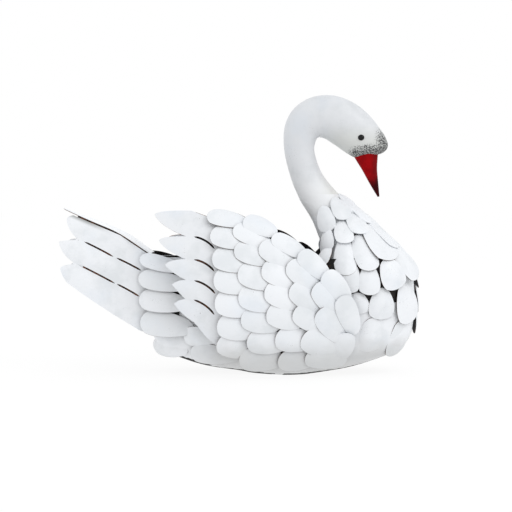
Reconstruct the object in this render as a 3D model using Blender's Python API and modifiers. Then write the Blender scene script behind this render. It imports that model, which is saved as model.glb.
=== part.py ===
"""Garden planter in the shape of a resting mute swan, made of thin painted steel sheet.

The trunk is an open bowl that rises in front into the breast and the foot of the neck. The neck is
a bent tube that swells into the head. The wings, the tail and the small feathers are cut from flat
sheet and dished or bent to shape. Metres, +X forward, +Z up. The origin is on the floor, below the
middle of the swan.
"""

import bmesh
import bpy
from math import copysign, cos, pi, radians, sin
from mathutils import Matrix, Vector

# ---- driving dimensions -------------------------------------------------------------------------
WALL = 0.0015                 # sheet of the trunk, the neck and the head
PLATE = 0.0012                # sheet of the feathers
GAP = 0.0003                  # clearance between pieces that touch
WELD = 0.00002                # points closer than this are one
RIM_Z = 0.235                 # edge of the planter's mouth
JOINT_Z = 0.362               # where the neck tube stands on its foot
ORIGIN_SHIFT = 0.0033         # the lengths below are counted from a point this far behind the middle

# Horizontal sections of the bowl: height, rear end, widest place, front end, half width.
BOWL = (
    (0.000, 0.010, 0.080, 0.150, 0.052),
    (0.006, -0.020, 0.085, 0.185, 0.067),
    (0.014, -0.075, 0.090, 0.228, 0.079),
    (0.028, -0.122, 0.095, 0.274, 0.091),
    (0.045, -0.160, 0.100, 0.316, 0.101),
    (0.070, -0.180, 0.105, 0.341, 0.111),
    (0.110, -0.188, 0.115, 0.350, 0.119),
    (0.160, -0.190, 0.130, 0.3515, 0.121),
    (0.205, -0.190, 0.160, 0.347, 0.117),
    (RIM_Z, -0.188, 0.185, 0.336, 0.108),
)
# The same for the foot of the neck, from the rim up to the neck tube.
FOOT = (
    (RIM_Z, 0.163, 0.185, 0.336, 0.108),
    (0.260, 0.1615, 0.203, 0.311, 0.088),
    (0.285, 0.153, 0.203, 0.286, 0.069),
    (0.308, 0.1435, 0.195, 0.260, 0.054),
    (0.328, 0.132, 0.182, 0.235, 0.043),
    (0.345, 0.121, 0.1685, 0.215, 0.0365),
    (JOINT_Z, 0.1129, 0.1554, 0.198, 0.0335),
    (JOINT_Z + 0.006, 0.1104, 0.1517, 0.193, 0.0330),
)
BOWL_POINTS = 32              # points around a section of the bowl
ARC_POINTS = 7                # of them, on each side of the front, the foot of the neck takes this many
BACK_POINTS = 6               # steps across the back of the foot
FRONT_POWER = 2.3             # superellipse power of the breast
REAR_POWER = 3.5              # and of the stern
STERN_TAPER = 0.5             # how far the stern narrows

# Sections across the neck and the head, along their middle line: x, z, half depth, half width.
NECK_LINE = (
    (0.1815, 0.3235, 0.0420, 0.0400),
    (0.1550, 0.3570, 0.0356, 0.0335),
    (0.1375, 0.3850, 0.0323, 0.0312),
    (0.1240, 0.4200, 0.0305, 0.0300),
    (0.1167, 0.4538, 0.0308, 0.0300),
    (0.1188, 0.4830, 0.0345, 0.0320),
    (0.1270, 0.5015, 0.0385, 0.0340),
    (0.1408, 0.5142, 0.0414, 0.0355),
    (0.1620, 0.5210, 0.0437, 0.0368),
    (0.1880, 0.5175, 0.0458, 0.0378),
    (0.2146, 0.5025, 0.0466, 0.0382),
    (0.2422, 0.4815, 0.0443, 0.0370),
    (0.2566, 0.4680, 0.0393, 0.0338),
    (0.2705, 0.4574, 0.0318, 0.0280),
    (0.2830, 0.4500, 0.0205, 0.0185),
    (0.2905, 0.4455, 0.0000, 0.0000),
)
HEAD_START = 9.4              # station of NECK_LINE at which the head is welded on
TUBE_POINTS = 14              # points around the neck
NECK_STEPS = 16
HEAD_STEPS = 10
GUIDE_STEPS = 18              # steps of the slightly larger head that trims the bill and the eyes
HEAD_GAP = 0.006              # stations left open between the neck and the head

BILL_FRONT = ((0.2800, 0.4700), (0.2771, 0.4415), (0.2751, 0.4159), (0.2763, 0.3954), (0.2806, 0.3575))
BILL_BACK = ((0.2120, 0.4700), (0.2302, 0.4368), (0.2460, 0.4110), (0.2615, 0.3862), (0.2778, 0.3570))
BILL_HALF_WIDTH = (0.0250, 0.0190, 0.0140, 0.0085, 0.0012)
BILL_POINTS = 10
EYE_AT = (0.2399, 0.4762)
EYE_RADIUS = 0.0063
HEAD_SAMPLES = 120            # sections tried to find the head's width at the eye
EYE_PROUD = 0.0022            # the bead's centre stands this far inside the skin

# ---- wings: a dished sheet, cut into five long feathers behind -----------------------------------
WING_BULGE = 0.158            # how far the sheet stands out at its middle
WING_MIDDLE = (0.060, 0.170)
WING_BEND_Z = 2.6             # curvature up and down
WING_BEND_FRONT = 0.7         # curvature forward of the middle
WING_BEND_REAR = 0.4          # and behind it
WING_TIPS = ((-0.1726, 0.3210), (-0.1611, 0.2705), (-0.1476, 0.2252), (-0.1331, 0.1876), (-0.1292, 0.1509))
WING_NOTCHES = ((-0.1080, 0.2792), (-0.1070, 0.2358), (-0.1061, 0.1963), (-0.1070, 0.1596))
WING_SLIT_FRONTS = ((-0.0640, 0.2660), (-0.0640, 0.2225), (-0.0640, 0.1800), (-0.0640, 0.1420))
FEATHERED_X = -0.0690         # the small feathers start ahead of this line
WING_STAYS = ((0.010, 0.135), (0.115, 0.135))   # rods that hold the sheet off the trunk: x, z
STAY_RADIUS = 0.003
STAY_CLEAR = 0.0018           # their flat ends keep this much from the curved skins
WING_SCORE_X = [-0.150, -0.110, -0.020, 0.030, 0.080, 0.130, 0.180]
WING_SCORE_Z = [0.060, 0.100, 0.140, 0.180, 0.220, 0.260, 0.300]
WING_BRIDGE = 0.0155          # uncut metal between a notch and its slit
SLIT_HALF = 0.0021
WING_SLIT_BOW = 0.0090        # how far a slit curves
TAIL_SLIT_BOW = 0.0015
FOLD_REACH = 0.003            # the breast sheet is laid by the skin's slope over this height
WING_TOP = ((-0.1000, 0.3290), (-0.0640, 0.3200), (0.0100, 0.3080), (0.0800, 0.2850), (0.1400, 0.2480))
WING_FRONT = ((0.1850, 0.2010), (0.2100, 0.1450), (0.2130, 0.0850), (0.1900, 0.0480))
WING_FOOT = ((0.1300, 0.0330), (0.0500, 0.0310), (-0.0200, 0.0480), (-0.0600, 0.0780), (-0.0900, 0.1150))

# ---- tail: two upright fans of three feathers each, and one flat feather on top ------------------
TAIL_HALF = 0.0485            # the fans stand this far from the middle at their root
TAIL_FLARE = 0.045            # and spread by this slope towards their tips
TAIL_ROOT_X = -0.160
STERN_Z = 0.160               # the root follows the stern's section at this height
TAIL_SCORE_X = [-0.160, -0.145, -0.130]
TAIL_TIPS = ((-0.3560, 0.3090), (-0.3670, 0.2662), (-0.3640, 0.2124))
TAIL_NOTCHES = ((-0.3270, 0.2702), (-0.3330, 0.2223))
TAIL_TOP_EDGE = ((-0.1250, 0.2140), (-0.1834, 0.2400), (-0.2173, 0.2640), (-0.2432, 0.2820),
                 (-0.3031, 0.3060), (-0.3400, 0.3140))
TAIL_LOW_EDGE = ((-0.3489, 0.1840), (-0.3100, 0.1560), (-0.2600, 0.1225), (-0.2053, 0.0887),
                 (-0.1650, 0.0760))
TAIL_SLITS = (((-0.3130, 0.2662), (-0.2572, 0.2363)), ((-0.2492, 0.2333), (-0.2014, 0.2084)),
              ((-0.3210, 0.2183), (-0.2532, 0.1824)), ((-0.2472, 0.1804), (-0.2053, 0.1565)))
TOP_FEATHER_LINE = ((-0.1840, 0.2440), (-0.2432, 0.2885), (-0.3031, 0.3150), (-0.3657, 0.3345))
TOP_FEATHER_HALF = 0.058
TOP_FEATHER_ARCH = 0.002      # its edges hang this far below its middle

# ---- small feathers: rows of dished ovals --------------------------------------------------------
# Each oval is drawn only as far as it shows beyond its neighbours.
FEATHER_LENGTH = 0.058
FEATHER_WIDTH = 0.0425
FEATHER_CROWN = 0.0035        # how deep an oval is dished
FEATHER_LIFT = 0.0038         # how far its free end stands off the sheet
FEATHER_SIDE_LIFT = 0.0022    # how far its lower edge stands off the sheet
FEATHER_POINTS = 8
FEATHER_CLEAR = 0.0012        # least gap between two ovals
SHEET_MARGIN = 1.06           # an oval this much larger would still lie on its sheet
SMALLEST_SHARE = 0.45         # an oval that would be drawn smaller than this is left out

# Rows on a wing: first, middle and last free end; number; slope of the first and the last feather
# in degrees; size of the last feather beside the first.
WING_ROWS = (
    ((0.0031, 0.3074), (0.1150, 0.2560), (0.1850, 0.0815), 6, -20, -88, 0.90),
    ((-0.0678, 0.3132), (0.0330, 0.2600), (0.1352, 0.1638), 5, -10, -52, 1.05),
    ((-0.0601, 0.2768), (0.0400, 0.2200), (0.1372, 0.1294), 5, -12, -55, 1.05),
    ((-0.0563, 0.2347), (0.0200, 0.1940), (0.0950, 0.1255), 4, -12, -38, 1.05),
    ((-0.0524, 0.1945), (0.0250, 0.1530), (0.1123, 0.0853), 4, -10, -30, 1.10),
    ((-0.0524, 0.1543), (0.0330, 0.1000), (0.1199, 0.0489), 4, -12, -12, 1.05),
    ((-0.0486, 0.1045), (0.0100, 0.0720), (0.0682, 0.0374), 3, -14, -2, 1.00),
    ((-0.0448, 0.0719), (-0.0250, 0.0550), (-0.0065, 0.0400), 2, -20, -8, 0.90),
)

# Rows around the breast and the foot of the neck, from the top: height of the free ends in front and
# at the back, turn of the first and the last feather from straight ahead in degrees, number on each
# side, length and width.
BREAST_ROWS = (
    (0.316, 0.286, 0, 121, 4, 0.040, 0.032),
    (0.286, 0.246, 22, 108, 5, 0.040, 0.032),
    (0.238, 0.196, 9, 70, 5, 0.052, 0.042),
    (0.186, 0.168, 0, 57, 5, 0.048, 0.042),
    (0.110, 0.124, 0, 45, 4, 0.060, 0.043),
    (0.038, 0.050, 0, 29, 3, 0.060, 0.045),
)
BREAST_SPREAD = 0.12          # metres of flat sheet for each radian around the trunk
BREAST_LEVELS = (0.030, 0.241, 0.3605)
BREAST_TURNS = (128, 80)      # how far around the sheet reaches, above the rim and below it
# Feathers over the root of the tail: free end, slope, length, width.
TAIL_COVERTS = (
    ((-0.2045, 0.1018), -14, 0.082, 0.042),
    ((-0.2055, 0.1475), -12, 0.082, 0.041),
    ((-0.2062, 0.1885), -13, 0.082, 0.038),
    ((-0.2045, 0.2269), -17, 0.070, 0.034),
)

WHITE = (0.80, 0.81, 0.83)
RED = (0.46, 0.01, 0.01)
BLACK = (0.01, 0.01, 0.01)


# ---- shared tools --------------------------------------------------------------------------------
def clear_scene():
    for item in list(bpy.data.objects):
        bpy.data.objects.remove(item, do_unlink=True)


def new_collection(name):
    made = bpy.data.collections.new(name)
    bpy.context.scene.collection.children.link(made)
    return made


def new_material(name, colour, roughness, metallic):
    made = bpy.data.materials.new(name)
    made.use_nodes = True
    shader = made.node_tree.nodes["Principled BSDF"]
    shader.inputs["Base Color"].default_value = (*colour, 1.0)
    shader.inputs["Roughness"].default_value = roughness
    shader.inputs["Metallic"].default_value = metallic
    return made


def add_object(name, bm, mat, home, sharp=35):
    """Write a bmesh to a smooth-shaded object in a collection."""
    mesh = bpy.data.meshes.new(name)
    bm.to_mesh(mesh)
    bm.free()
    mesh.shade_smooth()
    mesh.set_sharp_from_angle(angle=radians(sharp))
    if mat:
        mesh.materials.append(mat)
    made = bpy.data.objects.new(name, mesh)
    home.objects.link(made)
    return made


def make_guide(item):
    item.hide_render = True
    item.display_type = "WIRE"
    return item


def add_wall(item, thickness):
    """Give an open surface its thickness, on the inner side."""
    wall = item.modifiers.new("wall", "SOLIDIFY")
    wall.thickness = thickness
    wall.offset = -1.0
    wall.use_even_offset = True
    return item


def add_boolean(item, operation, other):
    cut = item.modifiers.new(operation.lower(), "BOOLEAN")
    cut.operation = operation
    cut.solver = "EXACT"
    cut.object = other


def cutting_box(name, low, high, home):
    bm = bmesh.new()
    bmesh.ops.create_cube(bm, size=1.0)
    for vert in bm.verts:
        vert.co = Vector([(a + b) / 2 + (b - a) * c for a, b, c in zip(low, high, vert.co)])
    return make_guide(add_object(name, bm, None, home))


def spline_at(rows, where):
    """Catmull-Rom value of a table of rows at a fractional row number."""
    low = min(max(int(where), 0), len(rows) - 2)
    t = where - low
    p1, p2 = rows[low], rows[low + 1]
    p0 = rows[low - 1] if low > 0 else [2 * a - b for a, b in zip(p1, p2)]
    p3 = rows[low + 2] if low + 2 < len(rows) else [2 * b - a for a, b in zip(p1, p2)]
    return [
        0.5 * (2 * b + (c - a) * t + (2 * a - 5 * b + 4 * c - d) * t * t + (3 * b - a - 3 * c + d) * t ** 3)
        for a, b, c, d in zip(p0, p1, p2, p3)
    ]


def level_at(levels, z):
    """Straight-line value of a table of levels at a height."""
    for low, high in zip(levels, levels[1:]):
        if z <= high[0] or high is levels[-1]:
            t = (z - low[0]) / (high[0] - low[0])
            return [a + (b - a) * t for a, b in zip(low[1:], high[1:])]


def bezier(a, b, c, steps):
    """Points on the curve that starts at a, leans towards b and ends at c, without its end."""
    rows = []
    for i in range(steps):
        t = i / steps
        rows.append(tuple((1 - t) ** 2 * p + 2 * t * (1 - t) * q + t * t * r for p, q, r in zip(a, b, c)))
    return rows


def loft(bm, rings, skip=None):
    """Join rings of points with quads. skip(j, i) leaves the quad above ring j at point i open."""
    grid = [[bm.verts.new(p) for p in ring] for ring in rings]
    for j, (low, high) in enumerate(zip(grid, grid[1:])):
        for i in range(len(low)):
            k = (i + 1) % len(low)
            if skip is None or not skip(j, i):
                bm.faces.new((low[i], low[k], high[k], high[i]))
    return grid


# ---- trunk ---------------------------------------------------------------------------------------
def signed_power(value, power):
    return copysign(abs(value) ** power, value)


def bowl_point(section, angle):
    """Point of a bowl section, the angle counted from straight ahead."""
    rear, wide, front, half = section
    c, s = cos(angle), sin(angle)
    if c >= -1e-9:
        return wide + (front - wide) * abs(c) ** (2 / FRONT_POWER), half * signed_power(s, 2 / FRONT_POWER)
    along = abs(c) ** (2 / REAR_POWER)
    narrowed = half * (1 - STERN_TAPER * along)
    return wide - (wide - rear) * along, narrowed * signed_power(s, 2 / REAR_POWER)


def bowl_half_width(x, z):
    """Half width of the bowl at a place along it."""
    rear, wide, front, half = level_at(BOWL, z)
    if x >= wide:
        return half * (1 - min((x - wide) / (front - wide), 1) ** FRONT_POWER) ** (1 / FRONT_POWER)
    along = min((wide - x) / (wide - rear), 1)
    return half * (1 - STERN_TAPER * along) * (1 - along ** REAR_POWER) ** (1 / REAR_POWER)


def breast_point(angle, z):
    """Point of the breast or of the foot of the neck, at the same angle as a section's points."""
    rear, wide, front, half = level_at(BOWL if z <= RIM_Z else FOOT, z)
    c, s = cos(angle), sin(angle)
    if c < 0:
        return Vector((wide + (wide - rear) * c, half * s, z))
    power = FRONT_POWER + (2 - FRONT_POWER) * max(z - RIM_Z, 0) / (JOINT_Z - RIM_Z)
    return Vector((wide + (front - wide) * c ** (2 / power), half * signed_power(s, 2 / power), z))


def foot_ring(section, rise):
    """Section of the foot of the neck: its front arc matches the bowl's, its back is an ellipse."""
    rear, wide, front, half = section
    power = FRONT_POWER + (2 - FRONT_POWER) * rise
    ring = []
    for i in range(-ARC_POINTS, ARC_POINTS + 1):
        a = pi / 2 * i / ARC_POINTS
        ahead = wide + (front - wide) * abs(cos(a)) ** (2 / power)
        ring.append((ahead, half * signed_power(sin(a), 2 / power)))
    for i in range(1, BACK_POINTS):
        a = pi / 2 + pi * i / BACK_POINTS
        ring.append((wide + (wide - rear) * cos(a), half * sin(a)))
    return ring


def trunk_surface():
    """Open skin of the bowl and the foot of the neck, welded along the front of the rim."""
    bm = bmesh.new()
    quarter = [pi / 2 * i / ARC_POINTS for i in range(-ARC_POINTS, ARC_POINTS + 1)]
    rest = BOWL_POINTS - len(quarter)
    stern = [pi / 2 + pi * (i + 1) / (rest + 1) for i in range(rest)]
    rings = []
    for z, *section in BOWL:
        rings.append([(*bowl_point(section, a), z) for a in quarter + stern])
    grid = loft(bm, rings)
    bm.faces.new(list(reversed(grid[0])))
    rings = []
    for z, *section in FOOT:
        rise = (z - RIM_Z) / (JOINT_Z - RIM_Z)
        rings.append([(x, y, z) for x, y in foot_ring(section, rise)])
    loft(bm, rings)
    bmesh.ops.remove_doubles(bm, verts=bm.verts, dist=WELD)
    return bm


# ---- neck, head, bill and eyes -------------------------------------------------------------------
def neck_ring(where, grow=0.0):
    """Section square to the middle line of the neck at a fractional station."""
    x, z, deep, wide = spline_at(NECK_LINE, where)
    ahead = spline_at(NECK_LINE, min(where + 0.05, len(NECK_LINE) - 1))
    behind = spline_at(NECK_LINE, max(where - 0.05, 0))
    run = Vector((ahead[0] - behind[0], 0, ahead[1] - behind[1])).normalized()
    out = Vector((-run.z, 0, run.x))
    ring = []
    for i in range(TUBE_POINTS):
        a = 2 * pi * i / TUBE_POINTS
        side = Vector((0, (max(wide, 0) + grow) * sin(a), 0))
        ring.append(Vector((x, 0, z)) + out * (max(deep, 0) + grow) * cos(a) + side)
    return ring


def neck_surface(first, last, steps, grow=0.0, closed=False):
    """Skin of the neck or the head between two stations."""
    bm = bmesh.new()
    rings = [neck_ring(first + (last - first) * i / steps, grow) for i in range(steps + 1)]
    grid = loft(bm, rings)
    if closed:
        bm.faces.new(list(reversed(grid[0])))
        bm.faces.new(grid[-1])
    bmesh.ops.remove_doubles(bm, verts=bm.verts, dist=WELD)
    if closed:
        bmesh.ops.recalc_face_normals(bm, faces=bm.faces)
    return bm


def face_outward(bm, inside):
    """Turn an open skin so that its faces look away from a point inside it."""
    nearest = min(bm.faces, key=lambda f: (f.calc_center_median() - inside).length)
    bmesh.ops.recalc_face_normals(bm, faces=bm.faces)
    if nearest.normal.dot(nearest.calc_center_median() - inside) < 0:
        bmesh.ops.reverse_faces(bm, faces=bm.faces)
    return bm


def bill_surface():
    bm = bmesh.new()
    rings = []
    for front, back, half in zip(BILL_FRONT, BILL_BACK, BILL_HALF_WIDTH):
        middle = Vector(((front[0] + back[0]) / 2, 0, (front[1] + back[1]) / 2))
        reach = Vector((front[0], 0, front[1])) - middle
        ring = []
        for i in range(BILL_POINTS):
            a = 2 * pi * i / BILL_POINTS
            ring.append(middle + reach * cos(a) + Vector((0, half * sin(a), 0)))
        rings.append(ring)
    grid = loft(bm, rings)
    bm.faces.new(grid[-1])
    return bm


# ---- flat sheet, cut and bent --------------------------------------------------------------------
def slit_outline(start, end, bow, steps=6):
    """Closed outline of a thin curved slit with pointed ends."""
    a, c = Vector(start), Vector(end)
    across = Vector((a.y - c.y, c.x - a.x)).normalized()
    if across.y < 0:
        across = -across
    b = (a + c) / 2 + across * bow
    line = [Vector(p) for p in bezier(a, b, c, steps)] + [c]
    upper = [p + across * SLIT_HALF * min(1, 2.5 * sin(pi * i / steps)) for i, p in enumerate(line)]
    lower = [p - across * SLIT_HALF * min(1, 2.5 * sin(pi * i / steps)) for i, p in enumerate(line)]
    return [tuple(p) for p in upper] + [tuple(p) for p in reversed(lower[1:-1])]


def sheet_blank(name, outlines, home):
    """Flat sheet in the XZ plane from closed outlines; all but the first are holes."""
    curve = bpy.data.curves.new(name, "CURVE")
    curve.dimensions = "2D"
    curve.fill_mode = "BOTH"
    curve.extrude = PLATE / 2
    for outline in outlines:
        line = curve.splines.new("POLY")
        line.points.add(len(outline) - 1)
        for point, (x, z) in zip(line.points, outline):
            point.co = (x, z, 0, 1)
        line.use_cyclic_u = True
    item = bpy.data.objects.new(name, curve)
    home.objects.link(item)
    item.rotation_euler = (pi / 2, 0, 0)
    bpy.context.view_layer.update()
    mesh = bpy.data.meshes.new_from_object(item.evaluated_get(bpy.context.evaluated_depsgraph_get()))
    mesh.transform(item.matrix_world)
    bpy.data.objects.remove(item, do_unlink=True)
    bm = bmesh.new()
    bm.from_mesh(mesh)
    bpy.data.meshes.remove(mesh)
    bmesh.ops.remove_doubles(bm, verts=bm.verts, dist=WELD)
    bmesh.ops.dissolve_limit(bm, angle_limit=radians(1), verts=bm.verts, edges=bm.edges)
    bmesh.ops.recalc_face_normals(bm, faces=bm.faces)
    return bm


def score(bm, x_lines, z_lines):
    """Score a flat blank along the lines that it bends at."""
    for axis, places in ((Vector((1, 0, 0)), x_lines), (Vector((0, 0, 1)), z_lines)):
        for place in places:
            geometry = bm.verts[:] + bm.edges[:] + bm.faces[:]
            bmesh.ops.bisect_plane(bm, geom=geometry, dist=1e-6, plane_co=axis * place, plane_no=axis)


def bend_sheet(bm, shape, side):
    """Push each point of a flat blank out to shape(x, z), on the left or the right."""
    for vert in bm.verts:
        vert.co.y = side * (shape(vert.co.x, vert.co.z) + vert.co.y)
    if side < 0:
        bmesh.ops.reverse_faces(bm, faces=bm.faces)
    return bm


def wing_out(x, z):
    """Distance of the wing's sheet from the middle plane."""
    ahead = x - WING_MIDDLE[0]
    bend = WING_BEND_FRONT if ahead > 0 else WING_BEND_REAR
    return WING_BULGE - WING_BEND_Z * (z - WING_MIDDLE[1]) ** 2 - bend * ahead ** 2


def wing_outline():
    outline = []
    tops = (WING_TOP[0],) + WING_NOTCHES
    for top, tip, low in zip(tops, WING_TIPS, WING_NOTCHES + (WING_FOOT[-1],)):
        lean = (tip[0] + 0.012, top[1] + 0.35 * (tip[1] - top[1]) + 0.004)
        outline += bezier(top, lean, tip, 5)
        outline += bezier(tip, (tip[0] + 0.014, low[1] + 0.42 * (tip[1] - low[1])), low, 5)
    edge = WING_FOOT[::-1] + WING_FRONT[::-1] + WING_TOP[::-1]
    for i in range((len(edge) - 1) * 2):
        outline.append(tuple(spline_at(edge, i / 2)))
    return outline


def wing_stay(x, z, side):
    """Rod from the side of the trunk to the back of the wing."""
    low = bowl_half_width(x, z) + STAY_CLEAR
    high = wing_out(x, z) - PLATE / 2 - STAY_CLEAR
    bm = bmesh.new()
    bmesh.ops.create_cone(bm, cap_ends=True, segments=10, radius1=STAY_RADIUS, radius2=STAY_RADIUS,
                          depth=high - low)
    bmesh.ops.rotate(bm, verts=bm.verts, cent=(0, 0, 0), matrix=Matrix.Rotation(pi / 2, 3, "X"))
    bmesh.ops.translate(bm, verts=bm.verts, vec=(x, side * (low + high) / 2, z))
    return bm


def wing_slits():
    slits = []
    for notch, end in zip(WING_NOTCHES, WING_SLIT_FRONTS):
        start = (notch[0] + WING_BRIDGE, notch[1] - 0.0005)
        slits.append(slit_outline(start, end, WING_SLIT_BOW))
    return slits


def tail_out(x, z):
    """Distance of a tail fan from the middle plane; its root lies along the stern."""
    if x <= TAIL_ROOT_X:
        return TAIL_HALF + TAIL_FLARE * (TAIL_ROOT_X - x)
    return TAIL_HALF + bowl_half_width(x, STERN_Z) - bowl_half_width(TAIL_ROOT_X, STERN_Z)


def tail_outline():
    outline = list(TAIL_TOP_EDGE)
    tops = (TAIL_TOP_EDGE[-1],) + TAIL_NOTCHES
    for top, tip, low in zip(tops, TAIL_TIPS, TAIL_NOTCHES + (TAIL_LOW_EDGE[0],)):
        outline += bezier(top, (tip[0] - 0.001, top[1] + 0.1 * (tip[1] - top[1])), tip, 4)[1:]
        outline += bezier(tip, (tip[0] + 0.003, low[1] + 0.45 * (tip[1] - low[1])), low, 4)
    outline += TAIL_LOW_EDGE
    outline.append((TAIL_TOP_EDGE[0][0], 0.100))
    return outline


def top_feather():
    """Flat pointed feather over the gap between the two fans."""
    bm = bmesh.new()
    steps = 10
    rows = []
    for j in range(steps + 1):
        t = j / steps
        x, z = spline_at(TOP_FEATHER_LINE, t * (len(TOP_FEATHER_LINE) - 1))
        half = max(TOP_FEATHER_HALF * min(1, 0.8 + t) * (1 - t ** 3) ** 0.7, 0.002)
        rows.append([(x, half * s, z - TOP_FEATHER_ARCH * s * s) for s in (-1, -0.5, 0, 0.5, 1)])
    grid = [[bm.verts.new(p) for p in row] for row in rows]
    for low, high in zip(grid, grid[1:]):
        for i in range(4):
            bm.faces.new((low[i], low[i + 1], high[i + 1], high[i]))
    bmesh.ops.recalc_face_normals(bm, faces=bm.faces)
    if sum(f.normal.z for f in bm.faces) < 0:
        bmesh.ops.reverse_faces(bm, faces=bm.faces)
    return bm


# ---- small feathers ------------------------------------------------------------------------------
def feather_outline(spot, slope, length, width):
    """Rim of an oval in the plane of its sheet, with the height of each point above the sheet, and
    its crown. spot is its free end; slope is its direction from there to its root, in degrees."""
    run = Vector((cos(radians(slope)), sin(radians(slope))))
    down = Vector((run.y, -run.x))
    middle = Vector(spot) + run * length / 2
    rim = []
    for i in range(FEATHER_POINTS):
        turn = 2 * pi * (i + 0.5) / FEATHER_POINTS
        a = cos(turn)
        b = sin(turn) * (1 + 0.12 * a)
        height = PLATE + FEATHER_LIFT * (a + 1) / 2 + FEATHER_SIDE_LIFT * (b + 1) / 2
        rim.append((middle - run * a * length / 2 + down * b * width / 2, height))
    return rim, (middle, PLATE + (FEATHER_LIFT + FEATHER_SIDE_LIFT) / 2 + FEATHER_CROWN)


def apart(one, other):
    """Whether two convex outlines lie clear of each other."""
    for outline in (one, other):
        for p, q in zip(outline, outline[1:] + outline[:1]):
            across = Vector((q.y - p.y, p.x - q.x)).normalized()
            near = [v.dot(across) for v in one]
            far = [v.dot(across) for v in other]
            if max(near) + FEATHER_CLEAR < min(far) or max(far) + FEATHER_CLEAR < min(near):
                return True
    return False


def holds(outline, spot):
    """Whether a point lies inside an outline."""
    inside = False
    for (ax, az), (bx, bz) in zip(outline, outline[1:] + outline[:1]):
        if (az > spot[1]) != (bz > spot[1]) and spot[0] < ax + (bx - ax) * (spot[1] - az) / (bz - az):
            inside = not inside
    return inside


def fit_feathers(wanted, sheet):
    """Draw each feather as large as the sheet and those drawn before it allow."""
    placed = []
    for spot, slope, length, width in wanted:
        size = 1.0
        while size > SMALLEST_SHARE:
            rim, crown = feather_outline(spot, slope, length * size, width * size)
            outline = [p for p, height in rim]
            on_sheet = all(holds(sheet, crown[0] + (p - crown[0]) * SHEET_MARGIN) for p in outline)
            if on_sheet and all(apart(outline, [p for p, height in other]) for other, top in placed):
                placed.append((rim, crown))
                break
            size -= 0.04
    return placed


def emboss(bm, feathers, is_field):
    """Raise feathers on the outer face of a flat blank. is_field(x, z) tells where they may stand;
    the outer face is cut open there and closed again around them."""
    outer = [f for f in bm.faces if f.normal.y > 0.9]
    field = [f for f in outer if is_field(f.calc_center_median().x, f.calc_center_median().z)]
    inside = set(field)
    edges = {e for f in field for e in f.edges if any(other not in inside for other in e.link_faces)}
    lost = {e for f in field for e in f.edges} - edges
    bmesh.ops.delete(bm, geom=field, context="FACES_ONLY")
    bmesh.ops.delete(bm, geom=[e for e in lost if e.is_valid], context="EDGES")
    bmesh.ops.delete(bm, geom=[v for v in bm.verts if not v.link_edges], context="VERTS")
    for rim, (middle, height) in feathers:
        foot = [bm.verts.new((p.x, PLATE / 2, p.y)) for p, rise in rim]
        top = [bm.verts.new((p.x, PLATE / 2 + rise, p.y)) for p, rise in rim]
        crown = bm.verts.new((middle.x, PLATE / 2 + height, middle.y))
        for i in range(FEATHER_POINTS):
            k = (i + 1) % FEATHER_POINTS
            bm.faces.new((foot[i], foot[k], top[k], top[i]))
            bm.faces.new((top[i], top[k], crown))
            edges.add(bm.edges.get((foot[i], foot[k])))
    bmesh.ops.triangle_fill(bm, edges=list(edges), use_beauty=True, use_dissolve=False, normal=(0, 1, 0))
    bmesh.ops.recalc_face_normals(bm, faces=bm.faces)


def wing_feathers():
    wanted = []
    for first, lean, last, count, slope_a, slope_b, growth in WING_ROWS:
        for i in range(count):
            t = i / (count - 1)
            bow = [2 * m - (a + b) / 2 for a, m, b in zip(first, lean, last)]
            spot = [(1 - t) ** 2 * p + 2 * t * (1 - t) * q + t * t * r for p, q, r in zip(first, bow, last)]
            size = 1 + (growth - 1) * t
            slope = slope_a + (slope_b - slope_a) * t
            wanted.append((spot, slope, FEATHER_LENGTH * size, FEATHER_WIDTH * size))
    return fit_feathers(wanted, wing_outline())


# ---- breast: a sheet with its own feathers, wrapped around the front of the trunk -----------------
def breast_blank_to_body(u, rise, z):
    """Point of the breast sheet: u runs around the trunk, and rise is the height above the trunk."""
    angle = u / BREAST_SPREAD
    step = 0.02
    spot = breast_point(angle, z)
    beside = breast_point(angle + step, z) - breast_point(angle - step, z)
    over = breast_point(angle, min(z + FOLD_REACH, JOINT_Z)) - breast_point(angle, z - FOLD_REACH)
    return spot + beside.cross(over).normalized() * rise


def breast_feathers(sheet):
    wanted = []
    for front_z, back_z, first, last, count, length, width in BREAST_ROWS:
        for i in range(count):
            t = i / (count - 1)
            angle = radians(first + (last - first) * t)
            low = front_z + (back_z - front_z) * t
            middle = low + length / 2
            around = (breast_point(angle + 0.15, middle) - breast_point(angle - 0.15, middle)).length / 0.30
            grade = breast_point(angle, middle + 0.01) - breast_point(angle, middle - 0.01)
            tall = length * grade.z / grade.length
            for side in (-1, 1) if angle > 0 else (1,):
                spot = (side * angle * BREAST_SPREAD, low)
                wanted.append((spot, 90, tall, width * BREAST_SPREAD / around))
    return fit_feathers(wanted, sheet)


def breast_sheet(home):
    low, shoulder, high = BREAST_LEVELS
    wide, narrow = (radians(a) * BREAST_SPREAD for a in BREAST_TURNS)
    half = [(wide, high), (wide, shoulder), (narrow, shoulder - 0.006), (narrow, low + 0.02)]
    half.append((narrow / 2, low))
    outline = half + [(-u, z) for u, z in reversed(half)]
    bm = sheet_blank("breast", [outline], home)
    quarter = [pi / 2 * i / ARC_POINTS for i in range(-ARC_POINTS, ARC_POINTS + 1)]
    back = [side * (pi / 2 + pi * i / BACK_POINTS) for i in range(1, BACK_POINTS) for side in (-1, 1)]
    levels = [row[0] for row in BOWL + FOOT]
    score(bm, [a * BREAST_SPREAD for a in quarter + back], levels)
    emboss(bm, breast_feathers(outline), lambda x, z: True)
    for vert in bm.verts:
        vert.co = breast_blank_to_body(vert.co.x, vert.co.y + PLATE / 2 + 2 * GAP, vert.co.z)
    bmesh.ops.reverse_faces(bm, faces=bm.faces)
    return bm


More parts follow.
